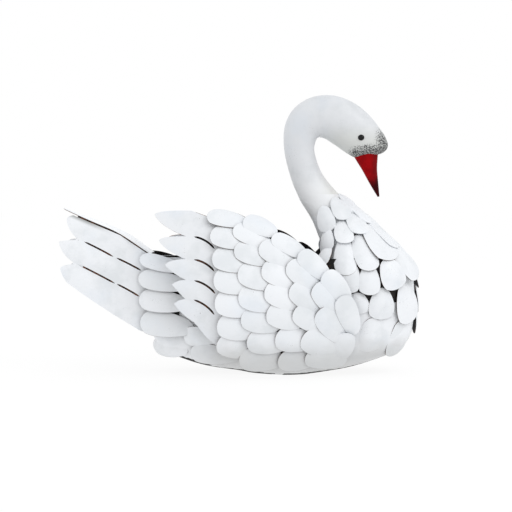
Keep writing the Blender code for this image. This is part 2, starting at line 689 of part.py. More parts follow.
def head_half_width(x, z):
    """Half width of the head beside a point of its middle plane."""
    best = 0.0
    for k in range(HEAD_SAMPLES + 1):
        where = HEAD_START + (len(NECK_LINE) - 1 - HEAD_START) * k / HEAD_SAMPLES
        cx, cz, deep, wide = spline_at(NECK_LINE, where)
        ahead = spline_at(NECK_LINE, min(where + 0.05, len(NECK_LINE) - 1))
        run = Vector((ahead[0] - cx, ahead[1] - cz))
        if run.length < 1e-6 or deep <= 0:
            continue
        run.normalize()
        away = Vector((x - cx, z - cz))
        if abs(away.dot(run)) < 0.002:
            height = min(abs(away.dot(Vector((-run.y, run.x)))) / deep, 1)
            best = max(best, wide * (1 - height * height) ** 0.5)
    return best


# ---- the whole swan ----------------------------------------------------------------------------
def build():
    clear_scene()
    parts = new_collection("swan_planter")
    guides = new_collection("guides")
    paint = new_material("white_paint", WHITE, 0.45, 0.0)
    red = new_material("red_paint", RED, 0.35, 0.0)
    black = new_material("black_bead", BLACK, 0.1, 0.0)

    trunk = add_object("trunk", face_outward(trunk_surface(), Vector((0.1, 0, 0.12))), paint, parts)
    add_wall(trunk, WALL)
    above = cutting_box("guide_above", (0.05, -0.1, JOINT_Z), (0.25, 0.1, JOINT_Z + 0.05), guides)
    add_boolean(trunk, "DIFFERENCE", above)

    neck = neck_surface(0.0, HEAD_START - HEAD_GAP, NECK_STEPS)
    neck = add_object("neck", face_outward(neck, Vector((0.1167, 0, 0.4538))), paint, parts)
    add_wall(neck, WALL)
    below = cutting_box("guide_below", (0.05, -0.1, 0.2), (0.3, 0.1, JOINT_Z + GAP), guides)
    add_boolean(neck, "DIFFERENCE", below)
    head = neck_surface(HEAD_START + HEAD_GAP, len(NECK_LINE) - 1, HEAD_STEPS)
    head = add_object("head", face_outward(head, Vector((0.2422, 0, 0.4815))), paint, parts)
    add_wall(head, WALL)
    head_cut = neck_surface(HEAD_START - 1, len(NECK_LINE) - 1, GUIDE_STEPS, grow=GAP, closed=True)
    head_cut = make_guide(add_object("guide_head", head_cut, paint, guides))

    bill = add_object("bill", face_outward(bill_surface(), Vector((0.262, 0, 0.41))), red, parts, sharp=60)
    add_wall(bill, PLATE)
    add_boolean(bill, "DIFFERENCE", head_cut)
    for side, word in ((-1, "right"), (1, "left")):
        skin = head_half_width(*EYE_AT)
        ball = bmesh.new()
        bmesh.ops.create_uvsphere(ball, u_segments=10, v_segments=6, radius=EYE_RADIUS)
        bmesh.ops.rotate(ball, verts=ball.verts, cent=(0, 0, 0), matrix=Matrix.Rotation(pi / 2, 3, "X"))
        bmesh.ops.translate(ball, verts=ball.verts, vec=(EYE_AT[0], side * (skin - EYE_PROUD), EYE_AT[1]))
        eye = add_object(f"eye_{word}", ball, black, parts)
        add_boolean(eye, "DIFFERENCE", head_cut)

    for side, word in ((-1, "right"), (1, "left")):
        blank = sheet_blank(f"wing_{word}", [wing_outline()] + wing_slits(), guides)
        score(blank, [FEATHERED_X] + WING_SCORE_X, WING_SCORE_Z)
        emboss(blank, wing_feathers(), lambda x, z: x > FEATHERED_X)
        add_object(f"wing_{word}", bend_sheet(blank, wing_out, side), paint, parts)

        for place, (x, z) in zip(("rear", "front"), WING_STAYS):
            add_object(f"wing_stay_{word}_{place}", wing_stay(x, z, side), paint, parts)

        slits = [slit_outline(a, c, TAIL_SLIT_BOW) for a, c in TAIL_SLITS]
        blank = sheet_blank(f"tail_{word}", [tail_outline()] + slits, guides)
        score(blank, TAIL_SCORE_X, [])
        emboss(blank, fit_feathers(TAIL_COVERTS, tail_outline()), lambda x, z: True)
        add_object(f"tail_{word}", bend_sheet(blank, tail_out, side), paint, parts)

    add_object("breast", breast_sheet(guides), paint, parts)
    top = add_object("tail_top", top_feather(), paint, parts)
    add_wall(top, PLATE)

    origin = bpy.data.objects.new("origin", None)
    parts.objects.link(origin)
    origin.location.x = ORIGIN_SHIFT
    for item in list(parts.objects) + list(guides.objects):
        if item is not origin:
            item.parent = origin


build()
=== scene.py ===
from math import copysign, cos, pi, radians, sin

import bmesh
import bpy
from mathutils import Matrix, Vector


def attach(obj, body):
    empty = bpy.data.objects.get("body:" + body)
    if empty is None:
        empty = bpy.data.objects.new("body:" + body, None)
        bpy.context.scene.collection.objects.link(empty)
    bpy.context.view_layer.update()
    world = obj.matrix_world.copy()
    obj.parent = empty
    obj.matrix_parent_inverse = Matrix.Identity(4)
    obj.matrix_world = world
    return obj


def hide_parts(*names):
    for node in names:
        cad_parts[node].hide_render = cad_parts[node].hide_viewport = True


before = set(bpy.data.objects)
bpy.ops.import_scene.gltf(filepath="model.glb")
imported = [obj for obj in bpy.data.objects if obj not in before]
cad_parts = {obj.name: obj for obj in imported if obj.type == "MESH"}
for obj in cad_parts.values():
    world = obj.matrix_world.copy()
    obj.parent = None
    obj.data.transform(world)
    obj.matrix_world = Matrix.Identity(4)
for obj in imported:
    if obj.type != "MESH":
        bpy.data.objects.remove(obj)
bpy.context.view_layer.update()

# ---- trunk ---------------------------------------------------------------------------------------
# The open bowl of the planter and the foot of the neck: steel sheet of about a millimetre, rolled to
# shape and welded. It is sprayed white outside, but bare and dark inside, along the keel and where
# the feathers hide it. The dark strips along the keel and between the breast ovals also serve as
# painted shade under the bowl and in the gaps under the ovals.
SHIFT = 0.0033                # lengths below are counted from a point this far ahead of the middle
RIM_Z = 0.235
JOINT_Z = 0.362
FRONT_POWER = 2.3
REAR_POWER = 3.5
STERN_TAPER = 0.5
# height, rear end, widest place, front end, half width
BOWL = (
    (0.000, 0.010, 0.080, 0.150, 0.052), (0.006, -0.020, 0.085, 0.185, 0.067),
    (0.014, -0.075, 0.090, 0.228, 0.079), (0.028, -0.122, 0.095, 0.274, 0.091),
    (0.045, -0.160, 0.100, 0.316, 0.101), (0.070, -0.180, 0.105, 0.341, 0.111),
    (0.110, -0.188, 0.115, 0.350, 0.119), (0.160, -0.190, 0.130, 0.3515, 0.121),
    (0.205, -0.190, 0.160, 0.347, 0.117), (0.235, -0.188, 0.185, 0.336, 0.108),
)
FOOT = (
    (0.235, 0.163, 0.185, 0.336, 0.108), (0.260, 0.1615, 0.203, 0.311, 0.088),
    (0.285, 0.153, 0.203, 0.286, 0.069), (0.308, 0.1435, 0.195, 0.260, 0.054),
    (0.328, 0.132, 0.182, 0.235, 0.043), (0.345, 0.121, 0.1685, 0.215, 0.0365),
    (0.362, 0.1129, 0.1554, 0.198, 0.0335),
)
SHEET = 0.0012
MERGE = 0.00005               # points closer than this are one point
WHITE_LIGHT = (0.80, 0.82, 0.85)
WHITE_SHADE = (0.66, 0.69, 0.715)
WHITE_BLUE = (0.70, 0.76, 0.84)
SPECK = (0.10, 0.09, 0.085, 1)
BARE = (0.012, 0.011, 0.011, 1)
CUT = (0.055, 0.042, 0.036, 1)
CREASE = radians(40)          # edges sharper than this stay sharp


def add_node(tree, kind, inputs=None, **settings):
    """A node with its settings; an input is a value or the socket that feeds it."""
    made = tree.nodes.new(kind)
    for key, value in settings.items():
        setattr(made, key, value)
    for key, value in (inputs or {}).items():
        if isinstance(value, bpy.types.NodeSocket):
            tree.links.new(value, made.inputs[key])
        else:
            made.inputs[key].default_value = value
    return made


def calc(tree, operation, *values):
    kind = "ShaderNodeMath"
    return add_node(tree, kind, dict(enumerate(values)), operation=operation).outputs[0]


def ramp(tree, value, low, high, to_low=0.0, to_high=1.0):
    """Smooth change of a value from one range to another."""
    limits = {"From Min": low, "From Max": high, "To Min": to_low, "To Max": to_high}
    made = add_node(tree, "ShaderNodeMapRange", {"Value": value, **limits}, interpolation_type="SMOOTHSTEP")
    return made.outputs["Result"]


def noise(tree, place, scale, detail=2.0, roughness=0.5):
    wanted = {"Vector": place, "Scale": scale, "Detail": detail, "Roughness": roughness}
    return add_node(tree, "ShaderNodeTexNoise", wanted).outputs["Fac"]


def blend_colour(tree, share, one, other):
    """One colour passing into another as the share goes from nothing to one."""
    return add_node(tree, "ShaderNodeMix", {0: share, 6: one, 7: other}, data_type="RGBA").outputs[2]


def new_material(name):
    """A material with its tree, its shader and the place on the piece, in metres."""
    mat = bpy.data.materials.new(name)
    mat.use_nodes = True
    tree = mat.node_tree
    place = add_node(tree, "ShaderNodeTexCoord").outputs["Object"]
    return mat, tree, tree.nodes["Principled BSDF"], place


def white_paint(name, on_ovals=False, strength=1.0, foot=0.0):
    """Sprayed white: faint clouds, a few dark specks, soft dents, painted shade low down. Given foot, painted
    light whitens the lower neck; on ovals the rim is darker, partly a dark wash, partly painted shadow.
    """
    mat, tree, shader, place = new_material(name)
    light, shade, bluish = (
        tuple(v * strength for v in colour) + (1,) for colour in (WHITE_LIGHT, WHITE_SHADE, WHITE_BLUE)
    )
    cloud = ramp(tree, noise(tree, place, 17, 4, 0.6), 0.45, 0.68)
    colour = blend_colour(tree, calc(tree, "MULTIPLY", cloud, 0.6), light, shade)
    blue = ramp(tree, noise(tree, place, 11, 3), 0.5, 0.7, 0, 0.35)
    colour = blend_colour(tree, blue, colour, bluish)
    grain = ramp(tree, noise(tree, place, 220, 3, 0.7), 0.55, 0.75, 0.0, 0.25)
    colour = blend_colour(tree, grain, colour, shade)
    split = add_node(tree, "ShaderNodeSeparateXYZ", {0: place}).outputs
    # Painted shade: greyer towards the bottom, less so towards the stern, for the shade under the belly.
    height = calc(tree, "ADD", split["Z"], calc(tree, "MULTIPLY", noise(tree, place, 30, 3), 0.03))
    ahead = ramp(tree, split["X"], -0.12, -0.02, 0.2, 1)
    painted_low_shade = calc(tree, "MULTIPLY", ramp(tree, height, 0.105, 0.05, 0, 0.7), ahead)
    colour = blend_colour(tree, painted_low_shade, colour, (0.47, 0.47, 0.46, 1))
    dots = ramp(tree, noise(tree, place, 750, 1), 0.70, 0.74)
    patch = ramp(tree, noise(tree, place, 31, 2), 0.58, 0.70)
    colour = blend_colour(tree, calc(tree, "MULTIPLY", dots, patch), colour, SPECK)
    # Painted light: the lower neck is whitened where the key light falls near the breast.
    if foot:
        painted_foot_light = ramp(tree, split["Z"], 0.42, 0.36, 0, foot)
        colour = blend_colour(tree, painted_foot_light, colour, (0.88, 0.89, 0.90, 1))
    if on_ovals:
        tone = add_node(tree, "ShaderNodeAttribute", attribute_name="tone").outputs["Fac"]
        colour = blend_colour(tree, ramp(tree, tone, 0, 1, 0, 0.35), colour, shade)
        # The free end and lower edge are darker: partly a dark wash, partly painted shadow of the gap
        # beneath.
        rim = add_node(tree, "ShaderNodeAttribute", attribute_name="rim").outputs["Fac"]
        colour = blend_colour(tree, ramp(tree, rim, 0.95, 1.0, 0, 0.70), colour, (0.22, 0.21, 0.20, 1))
    tree.links.new(colour, shader.inputs["Base Color"])
    rough = ramp(tree, noise(tree, place, 40, 3), 0.3, 0.7, 0.36, 0.58)
    tree.links.new(rough, shader.inputs["Roughness"])
    peel = calc(tree, "MULTIPLY", noise(tree, place, 500, 2), 0.05)
    relief = calc(tree, "ADD", noise(tree, place, 26, 2), peel)
    bump = add_node(tree, "ShaderNodeBump", {"Height": relief, "Strength": 0.35, "Distance": 0.004})
    tree.links.new(bump.outputs["Normal"], shader.inputs["Normal"])
    return mat


def dark_metal(name, colour, rough, rust=0.0):
    """Bare steel: near black, with a dusting of overspray and some rust."""
    mat, tree, shader, place = new_material(name)
    mottle = ramp(tree, noise(tree, place, 60, 4, 0.65), 0.45, 0.75)
    shade = blend_colour(tree, calc(tree, "MULTIPLY", mottle, 0.35), colour, (0.07, 0.065, 0.06, 1))
    brown = ramp(tree, noise(tree, place, 90, 3), 0.45, 0.62, 0.0, rust)
    rusted = blend_colour(tree, brown, shade, (0.27, 0.10, 0.045, 1))
    tree.links.new(rusted, shader.inputs["Base Color"])
    tree.links.new(ramp(tree, mottle, 0, 1, rough, rough + 0.15), shader.inputs["Roughness"])
    shader.inputs["Specular IOR Level"].default_value = 0.15
    return mat


def spline_at(rows, where):
    """Catmull-Rom value of a table of rows at a fractional row number."""
    low = min(max(int(where), 0), len(rows) - 2)
    t = where - low
    p1, p2 = rows[low], rows[low + 1]
    p0 = rows[low - 1] if low > 0 else [2 * a - b for a, b in zip(p1, p2)]
    p3 = rows[low + 2] if low + 2 < len(rows) else [2 * b - a for a, b in zip(p1, p2)]
    return [
        0.5 * (2 * b + (c - a) * t + (2 * a - 5 * b + 4 * c - d) * t * t + (3 * b - a - 3 * c + d) * t ** 3)
        for a, b, c, d in zip(p0, p1, p2, p3)
    ]


def level_at(levels, z):
    """Straight-line value of a table of levels at a height."""
    for low, high in zip(levels, levels[1:]):
        if z <= high[0] or high is levels[-1]:
            t = (z - low[0]) / (high[0] - low[0])
            return [a + (b - a) * t for a, b in zip(low[1:], high[1:])]


def signed_power(value, power):
    return copysign(abs(value) ** power, value)


def bowl_point(section, angle):
    """Point of a level section of the bowl, fuller than an ellipse and narrowing towards the stern."""
    rear, wide, front, half = section
    c, s = cos(angle), sin(angle)
    if c >= -1e-9:
        return wide + (front - wide) * abs(c) ** (2 / FRONT_POWER), half * signed_power(s, 2 / FRONT_POWER)
    along = abs(c) ** (2 / REAR_POWER)
    narrowed = half * (1 - STERN_TAPER * along)
    return wide - (wide - rear) * along, narrowed * signed_power(s, 2 / REAR_POWER)


def bowl_half_width(x, z):
    rear, wide, front, half = level_at(BOWL, z)
    if x >= wide:
        return half * (1 - min((x - wide) / (front - wide), 1) ** FRONT_POWER) ** (1 / FRONT_POWER)
    along = min((wide - x) / (wide - rear), 1)
    return half * (1 - STERN_TAPER * along) * (1 - along ** REAR_POWER) ** (1 / REAR_POWER)


def foot_point(section, angle, z):
    """Point of a level section of the neck's foot, round behind and passing to round in front."""
    rear, wide, front, half = section
    c, s = cos(angle), sin(angle)
    if c < 0:
        return Vector((wide + (wide - rear) * c, half * s, z))
    power = FRONT_POWER + (2 - FRONT_POWER) * max(z - RIM_Z, 0) / (JOINT_Z - RIM_Z)
    return Vector((wide + (front - wide) * c ** (2 / power), half * signed_power(s, 2 / power), z))


def breast_point(angle, z):
    return foot_point(level_at(BOWL if z <= RIM_Z else FOOT, z), angle, z)


def loft(bm, rings):
    grid = [[bm.verts.new(p) for p in ring] for ring in rings]
    for low, high in zip(grid, grid[1:]):
        for i in range(len(low)):
            k = (i + 1) % len(low)
            bm.faces.new((low[i], low[k], high[k], high[i]))
    return grid


def add_piece(name, bm, mats, sharp=CREASE):
    """A finished piece at the origin, smooth but for its sharp edges."""
    bmesh.ops.translate(bm, verts=bm.verts, vec=(SHIFT, 0, 0))
    mesh = bpy.data.meshes.new(name)
    bm.to_mesh(mesh)
    bm.free()
    mesh.shade_smooth()
    mesh.set_sharp_from_angle(angle=sharp)
    for mat in mats:
        mesh.materials.append(mat)
    made = bpy.data.objects.new(name, mesh)
    bpy.context.scene.collection.objects.link(made)
    return made


def plain_mesh(item):
    """The mesh that an object shows, with its modifiers worked in."""
    return bpy.data.meshes.new_from_object(item.evaluated_get(bpy.context.evaluated_depsgraph_get()))


def thicken(item, inner, rim=0):
    """Sheet from a surface, inwards. The back of a face takes the slot inner places further on, the cut
    edge the one rim places further on, or the last slot where there are not so many."""
    wall = item.modifiers.new("wall", "SOLIDIFY")
    wall.thickness = SHEET
    wall.offset = -1
    wall.material_offset = inner
    wall.material_offset_rim = rim
    flat = item.data
    item.data = plain_mesh(item)
    item.modifiers.clear()
    bpy.data.meshes.remove(flat)
    item.data.name = item.name
    item.data.set_sharp_from_angle(angle=CREASE)


paint = white_paint("white_paint")
bare = dark_metal("bare_steel", BARE, 0.6)
# Painted shade: the neck's paint is a darker copy of the white, lightened at its foot by painted light.
shaded_neck_paint = white_paint("shaded_neck_paint", strength=0.81, foot=0.5)
cut_edge = dark_metal("cut_edge", CUT, 0.55, 0.4)
rusty_edge = dark_metal("rusty_edge", (0.10, 0.05, 0.03, 1), 0.6, 0.95)
rusty = dark_metal("rusty_steel", (0.035, 0.022, 0.016, 1), 0.7, 0.55)

AROUND = 112
BOWL_LEVELS = 44
FOOT_LEVELS = 28
bm = bmesh.new()
rings = []
for k in range(BOWL_LEVELS + 1):
    z, *section = spline_at(BOWL, (len(BOWL) - 1) * k / BOWL_LEVELS)
    rings.append([(*bowl_point(section, 2 * pi * i / AROUND), max(z, 0.0)) for i in range(AROUND)])
grid = loft(bm, rings)
bm.faces.new(list(reversed(grid[0])))
rings = []
for k in range(FOOT_LEVELS + 1):
    z, *section = spline_at(FOOT, (len(FOOT) - 1) * k / FOOT_LEVELS)
    rings.append([foot_point(section, 2 * pi * i / AROUND, z) for i in range(AROUND)])
loft(bm, rings)
bmesh.ops.remove_doubles(bm, verts=bm.verts, dist=MERGE)
bm.normal_update()
for face in bm.faces:
    middle = face.calc_center_median()
    # The keel strip is also painted shade under the bottom edge; the dark sheet between the breast ovals is
    # partly painted shade of the gaps under their free ends.
    keel = face.normal.z < (-0.80 if middle.x < -0.065 else -0.92)
    hung = middle.x > (0.14 if middle.z < 0.235 else 0.165) and face.normal.x > -0.3
    gap_shade_band = 0.145 < middle.z < 0.200 and middle.x < 0.320 and abs(middle.y) > 0.05
    bare_and_shade_behind_ovals = hung and (gap_shade_band or 0.2 < middle.z < 0.285 and abs(face.normal.y) > 0.76)
    behind_wing = 0.11 < middle.z < 0.235 and -0.095 < middle.x < 0.14
    face.material_index = 5 if behind_wing else 1 if keel or bare_and_shade_behind_ovals else 3 if middle.z > 0.315 else 0
# every outer finish is followed by the one on the back of the same faces
trunk = add_piece("trunk_shell", bm, [paint, bare, bare, shaded_neck_paint, bare, rusty])
thicken(trunk, inner=1)
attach(trunk, "root")
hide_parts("trunk")

# ---- neck and head -------------------------------------------------------------------------------
# A bent tube of steel sheet that swells into the head, welded and ground smooth, then sprayed white.
# Black is dabbed on with a sponge around the root of the bill.
NECK_LINE = (
    # middle of the tube x, z, half depth, half width
    (0.1815, 0.3235, 0.0420, 0.0400), (0.1550, 0.3570, 0.0356, 0.0335), (0.1375, 0.3850, 0.0323, 0.0312),
    (0.1240, 0.4200, 0.0305, 0.0300), (0.1167, 0.4538, 0.0308, 0.0300), (0.1188, 0.4830, 0.0345, 0.0320),
    (0.1270, 0.5015, 0.0385, 0.0340), (0.1408, 0.5142, 0.0414, 0.0355), (0.1620, 0.5210, 0.0437, 0.0368),
    (0.1880, 0.5175, 0.0458, 0.0378), (0.2146, 0.5025, 0.0466, 0.0382), (0.2405, 0.4808, 0.0437, 0.0370),
    (0.2566, 0.4683, 0.0385, 0.0338),
)
HEAD_SECTIONS = (
    # lowest point x, z, highest point x, z, half width
    (0.1888, 0.4637, 0.2404, 0.5413, 0.0382), (0.2132, 0.4466, 0.2678, 0.5150, 0.0370),
    (0.2330, 0.4370, 0.2800, 0.4990, 0.0335), (0.2560, 0.4385, 0.2905, 0.4840, 0.0285),
    (0.2750, 0.4425, 0.2965, 0.4710, 0.0205), (0.2880, 0.4470, 0.2984, 0.4620, 0.0115),
    (0.2962, 0.4540, 0.2962, 0.4540, 0.0000),
)
HEAD_FROM = len(NECK_LINE) - 2             # from this station on, the head's own sections are used
EYE_AT = (0.2399, 0.4762)


def neck_ring(where, points):
    """Section of the neck, square to its middle line, or of the head, at a fractional station."""
    turn = [2 * pi * i / points for i in range(points)]
    if where > HEAD_FROM:
        low_x, low_z, high_x, high_z, wide = spline_at(HEAD_SECTIONS, where - HEAD_FROM + 1)
        middle = Vector(((low_x + high_x) / 2, 0, (low_z + high_z) / 2))
        out = Vector((high_x, 0, high_z)) - middle
        return [middle + Vector((0, max(wide, 0) * sin(a), 0)) + out * cos(a) for a in turn]
    x, z, deep, wide = spline_at(NECK_LINE, where)
    ahead = spline_at(NECK_LINE, min(where + 0.05, len(NECK_LINE) - 1))
    behind = spline_at(NECK_LINE, max(where - 0.05, 0))
    run = Vector((ahead[0] - behind[0], 0, ahead[1] - behind[1])).normalized()
    out = Vector((-run.z, 0, run.x))
    return [Vector((x, max(wide, 0) * sin(a), z)) + out * max(deep, 0) * cos(a) for a in turn]


def shaded_head_paint():
    """The white paint as a darker copy, with painted shade under the head, and sponge dabs of black around
    the root of the bill.
    """
    # Painted shade: a darker copy of the white, as on the neck, with painted light at the foot.
    mat = white_paint("shaded_head_paint", strength=0.81, foot=0.5)
    tree = mat.node_tree
    shader = tree.nodes["Principled BSDF"]
    place = add_node(tree, "ShaderNodeTexCoord").outputs["Object"]
    split = add_node(tree, "ShaderNodeSeparateXYZ", {0: place})
    x, z = split.outputs["X"], split.outputs["Z"]
    below = calc(tree, "ADD", z, calc(tree, "MULTIPLY", calc(tree, "SUBTRACT", x, 0.25), -0.15))
    jaw = calc(tree, "MULTIPLY", ramp(tree, below, 0.468, 0.448), ramp(tree, x, 0.212, 0.235))
    brow = calc(tree, "MULTIPLY", ramp(tree, x, 0.264, 0.288), ramp(tree, z, 0.510, 0.470))
    field = calc(tree, "MAXIMUM", jaw, brow)
    dabs = calc(tree, "ADD", noise(tree, place, 420, 3, 0.75), calc(tree, "MULTIPLY", field, 0.15))
    black = calc(tree, "MULTIPLY", ramp(tree, dabs, 0.57, 0.66), ramp(tree, field, 0.0, 0.35))
    came = shader.inputs["Base Color"].links[0].from_socket
    # Painted shade: the throat under the head is darker greenish grey.
    throat_shade = calc(tree, "MULTIPLY", ramp(tree, x, 0.150, 0.195), ramp(tree, z, 0.510, 0.465, 0, 0.5))
    shaded_and_oversprayed = blend_colour(tree, throat_shade, came, (0.56, 0.57, 0.52, 1))
    shaded_and_oversprayed = blend_colour(tree, calc(tree, "MULTIPLY", field, 0.30), shaded_and_oversprayed, (0.30, 0.32, 0.30, 1))
    tree.links.new(blend_colour(tree, black, shaded_and_oversprayed, (0.02, 0.02, 0.022, 1)), shader.inputs["Base Color"])
    return mat


NECK_STEPS = 150
NECK_POINTS = 56
NECK_START = 1.1              # station of the joint with the trunk, where the sections lie level
NECK_FREE = 2.4               # from this station on, they are square to the middle line
bm = bmesh.new()
rings = []
last = HEAD_FROM - 1 + len(HEAD_SECTIONS) - 1
start_x, start_z, deep, wide = spline_at(NECK_LINE, NECK_START)
rear, joint_x, joint_front, joint_half = FOOT[-1][1:]
for k in range(NECK_STEPS + 1):
    where = NECK_START + (last - NECK_START) * k / NECK_STEPS
    ring = neck_ring(where, NECK_POINTS)
    share = min((where - NECK_START) / (NECK_FREE - NECK_START), 1)
    share = share * share * (3 - 2 * share)
    x, z, deep, wide = spline_at(NECK_LINE, where)
    up = z - start_z
    reach = joint_front - joint_x - 0.25 * up
    half = joint_half - 0.12 * up
    level = []
    for i in range(NECK_POINTS):
        a = 2 * pi * i / NECK_POINTS
        level.append(Vector((x - start_x + joint_x - reach * cos(a), half * sin(a), JOINT_Z + up)))
    rings.append([p.lerp(q, share) for p, q in zip(level, ring)])
loft(bm, rings)
bmesh.ops.remove_doubles(bm, verts=bm.verts, dist=MERGE)
bmesh.ops.recalc_face_normals(bm, faces=bm.faces)
neck = add_piece("neck_and_head", bm, [shaded_head_paint(), bare])
thicken(neck, inner=1)
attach(neck, "root")
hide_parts("neck", "head")

# ---- bill ----------------------------------------------------------------------------------------
# A cone folded from one piece of sheet and welded under the head, with a ridge along its front. It
# is painted deep red and blackened towards its tip and along the ridge.
BILL_FRONT = ((0.2800, 0.4700), (0.2778, 0.4415), (0.2763, 0.4159), (0.2777, 0.3954), (0.2812, 0.3575))
BILL_BACK = ((0.2120, 0.4700), (0.2302, 0.4368), (0.2460, 0.4110), (0.2600, 0.3855), (0.2772, 0.3566))
BILL_HALF_WIDTH = (0.0250, 0.0190, 0.0140, 0.0085, 0.0012)
BILL_LEVELS = 32
BILL_POINTS = 40


def red_paint():
    """Deep red, a little patchy, blackened at the tip and along the ridge."""
    mat, tree, shader, place = new_material("red_paint")
    split = add_node(tree, "ShaderNodeSeparateXYZ", {0: place})
    x, z = split.outputs["X"], split.outputs["Z"]
    worn = calc(tree, "ADD", z, calc(tree, "MULTIPLY", noise(tree, place, 120, 3), 0.02))
    tip = ramp(tree, calc(tree, "SUBTRACT", worn, calc(tree, "MULTIPLY", x, 0.8)), 0.205, 0.168)
    patchy = ramp(tree, noise(tree, place, 70, 3), 0.35, 0.7, 0, 0.5)
    colour = blend_colour(tree, patchy, (0.30, 0.002, 0.004, 1), (0.17, 0.0015, 0.003, 1))
    uneven = calc(tree, "ADD", x, calc(tree, "MULTIPLY", noise(tree, place, 90, 3), 0.006))
    ridge = ramp(tree, uneven, 0.264, 0.277, 0, 0.4)
    dark = calc(tree, "MAXIMUM", ridge, calc(tree, "MULTIPLY", tip, 0.95))
    colour = blend_colour(tree, dark, colour, (0.022, 0.002, 0.003, 1))
    tree.links.new(colour, shader.inputs["Base Color"])
    shader.inputs["Roughness"].default_value = 0.42
    shader.inputs["Specular IOR Level"].default_value = 0.04
    return mat


bm = bmesh.new()
rings = []
for k in range(BILL_LEVELS + 1):
    where = (len(BILL_FRONT) - 1) * k / BILL_LEVELS
    front, back = spline_at(BILL_FRONT, where), spline_at(BILL_BACK, where)
    half = spline_at([(w,) for w in BILL_HALF_WIDTH], where)[0]
    middle = Vector(((front[0] + back[0]) / 2, 0, (front[1] + back[1]) / 2))
    reach = Vector((front[0], 0, front[1])) - middle
    ring = []
    for i in range(BILL_POINTS):
        a = 2 * pi * i / BILL_POINTS
        pinch = 0.55 + 0.45 * cos(a) ** 0.8 if cos(a) > 0.7 else 1
        ring.append(middle + reach * signed_power(cos(a), 1.15) + Vector((0, half * sin(a) * pinch, 0)))
    rings.append(ring)
grid = loft(bm, rings)
bm.faces.new(grid[-1])
bm.faces.new(list(reversed(grid[0])))
bmesh.ops.recalc_face_normals(bm, faces=bm.faces)
bill = add_piece("bill_cone", bm, [red_paint()], sharp=radians(30))
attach(bill, "root")
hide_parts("bill")

# ---- eyes ----------------------------------------------------------------------------------------
# Glossy black beads, set into the skin on each side of the head and glued.
EYE_RADIUS = 0.0063
EYE_SINK = 0.0012             # how deep the middle of a bead lies under the skin of the head
bead, tree, shader, place = new_material("black_bead")
dust = ramp(tree, noise(tree, place, 900, 2), 0.5, 0.8, 0, 0.5)
dusty = blend_colour(tree, dust, (0.006, 0.006, 0.007, 1), (0.02, 0.02, 0.02, 1))
tree.links.new(dusty, shader.inputs["Base Color"])
shader.inputs["Roughness"].default_value = 0.12
shader.inputs["Specular IOR Level"].default_value = 0.2
skin = 0.0
for k in range(200):
    x, z, deep, wide = spline_at(NECK_LINE, 9.4 + 2.6 * k / 200)
    if abs(x - EYE_AT[0]) < 0.006:
        rise = min(abs(z - EYE_AT[1]) / max(deep, 0.001), 1)
        skin = max(skin, wide * (1 - rise * rise) ** 0.5)
for side, word in ((-1, "right"), (1, "left")):
    bm = bmesh.new()
    bmesh.ops.create_uvsphere(bm, u_segments=32, v_segments=20, radius=EYE_RADIUS)
    bmesh.ops.scale(bm, verts=bm.verts, vec=(1.05, 0.75, 0.98))
    bmesh.ops.translate(bm, verts=bm.verts, vec=(EYE_AT[0], side * (skin - EYE_SINK), EYE_AT[1]))
    eye = add_piece(f"eye_bead_{word}", bm, [bead])
    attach(eye, "root")
    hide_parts(f"eye_{word}")

# ---- wings ---------------------------------------------------------------------------------------
# Each wing is one dished sheet whose rear end is cut into five long feathers, with a curved slit
# ahead of each notch. White outside and at the tips, dark inside, with rust along the cut edges.
WING_BULGE = 0.158
WING_MIDDLE = (0.060, 0.170)
WING_TIPS = ((-0.1726, 0.3210), (-0.1611, 0.2705), (-0.1476, 0.2252), (-0.1331, 0.1876), (-0.1292, 0.1509))
WING_NOTCHES = ((-0.1080, 0.2792), (-0.1070, 0.2358), (-0.1061, 0.1963), (-0.1070, 0.1596))
WING_SLIT_FRONTS = ((-0.0511, 0.2551), (-0.0511, 0.2127), (-0.0492, 0.1702), (-0.0511, 0.1297))
WING_TOP = ((-0.1000, 0.3290), (-0.0640, 0.3160), (0.0100, 0.2920), (0.0800, 0.2635), (0.1350, 0.2280))
WING_FRONT = ((0.1720, 0.1920), (0.1930, 0.1420), (0.1960, 0.0850), (0.1780, 0.0560))
WING_FOOT = ((0.1300, 0.0430), (0.0500, 0.0400), (-0.0200, 0.0520), (-0.0600, 0.0780), (-0.0900, 0.1150))
WING_BRIDGE = 0.0155          # sheet left whole between a notch and its slit
WING_LOBE_RISE = 0.0030
LEFT_DROP = 0.0042            # the top edge of the left wing was cut this much lower
SLIT_HALF = 0.0020
# Painted shade: a slightly darker copy of the white for the wing sheet.
shaded_wing_paint = white_paint("shaded_wing_paint", strength=0.92)


def wing_out(x, z):
    """Distance of the wing sheet from the middle plane."""
    ahead = x - WING_MIDDLE[0]
    return WING_BULGE - 2.6 * (z - WING_MIDDLE[1]) ** 2 - (0.7 if ahead > 0 else 0.4) * ahead ** 2


def bezier(a, b, c, steps):
    """Points of a bent line from a towards c, without its last point."""
    rows = []
    for i in range(steps):
        t = i / steps
        rows.append(tuple((1 - t) ** 2 * p + 2 * t * (1 - t) * q + t * t * r for p, q, r in zip(a, b, c)))
    return rows


def slit_outline(start, end, bow, half=SLIT_HALF, steps=14):
    """Outline of a slit that bows upwards and narrows at its ends."""
    a, c = Vector(start), Vector(end)
    across = Vector((a.y - c.y, c.x - a.x)).normalized()
    if across.y < 0:
        across = -across
    line = [Vector(p) for p in bezier(a, (a + c) / 2 + across * bow, c, steps)] + [c]
    upper = [p + across * half * min(1, 3 * sin(pi * i / steps)) for i, p in enumerate(line)]
    lower = [p - across * half * min(1, 3 * sin(pi * i / steps)) for i, p in enumerate(line)]
    return [tuple(p) for p in upper] + [tuple(p) for p in reversed(lower[1:-1])]


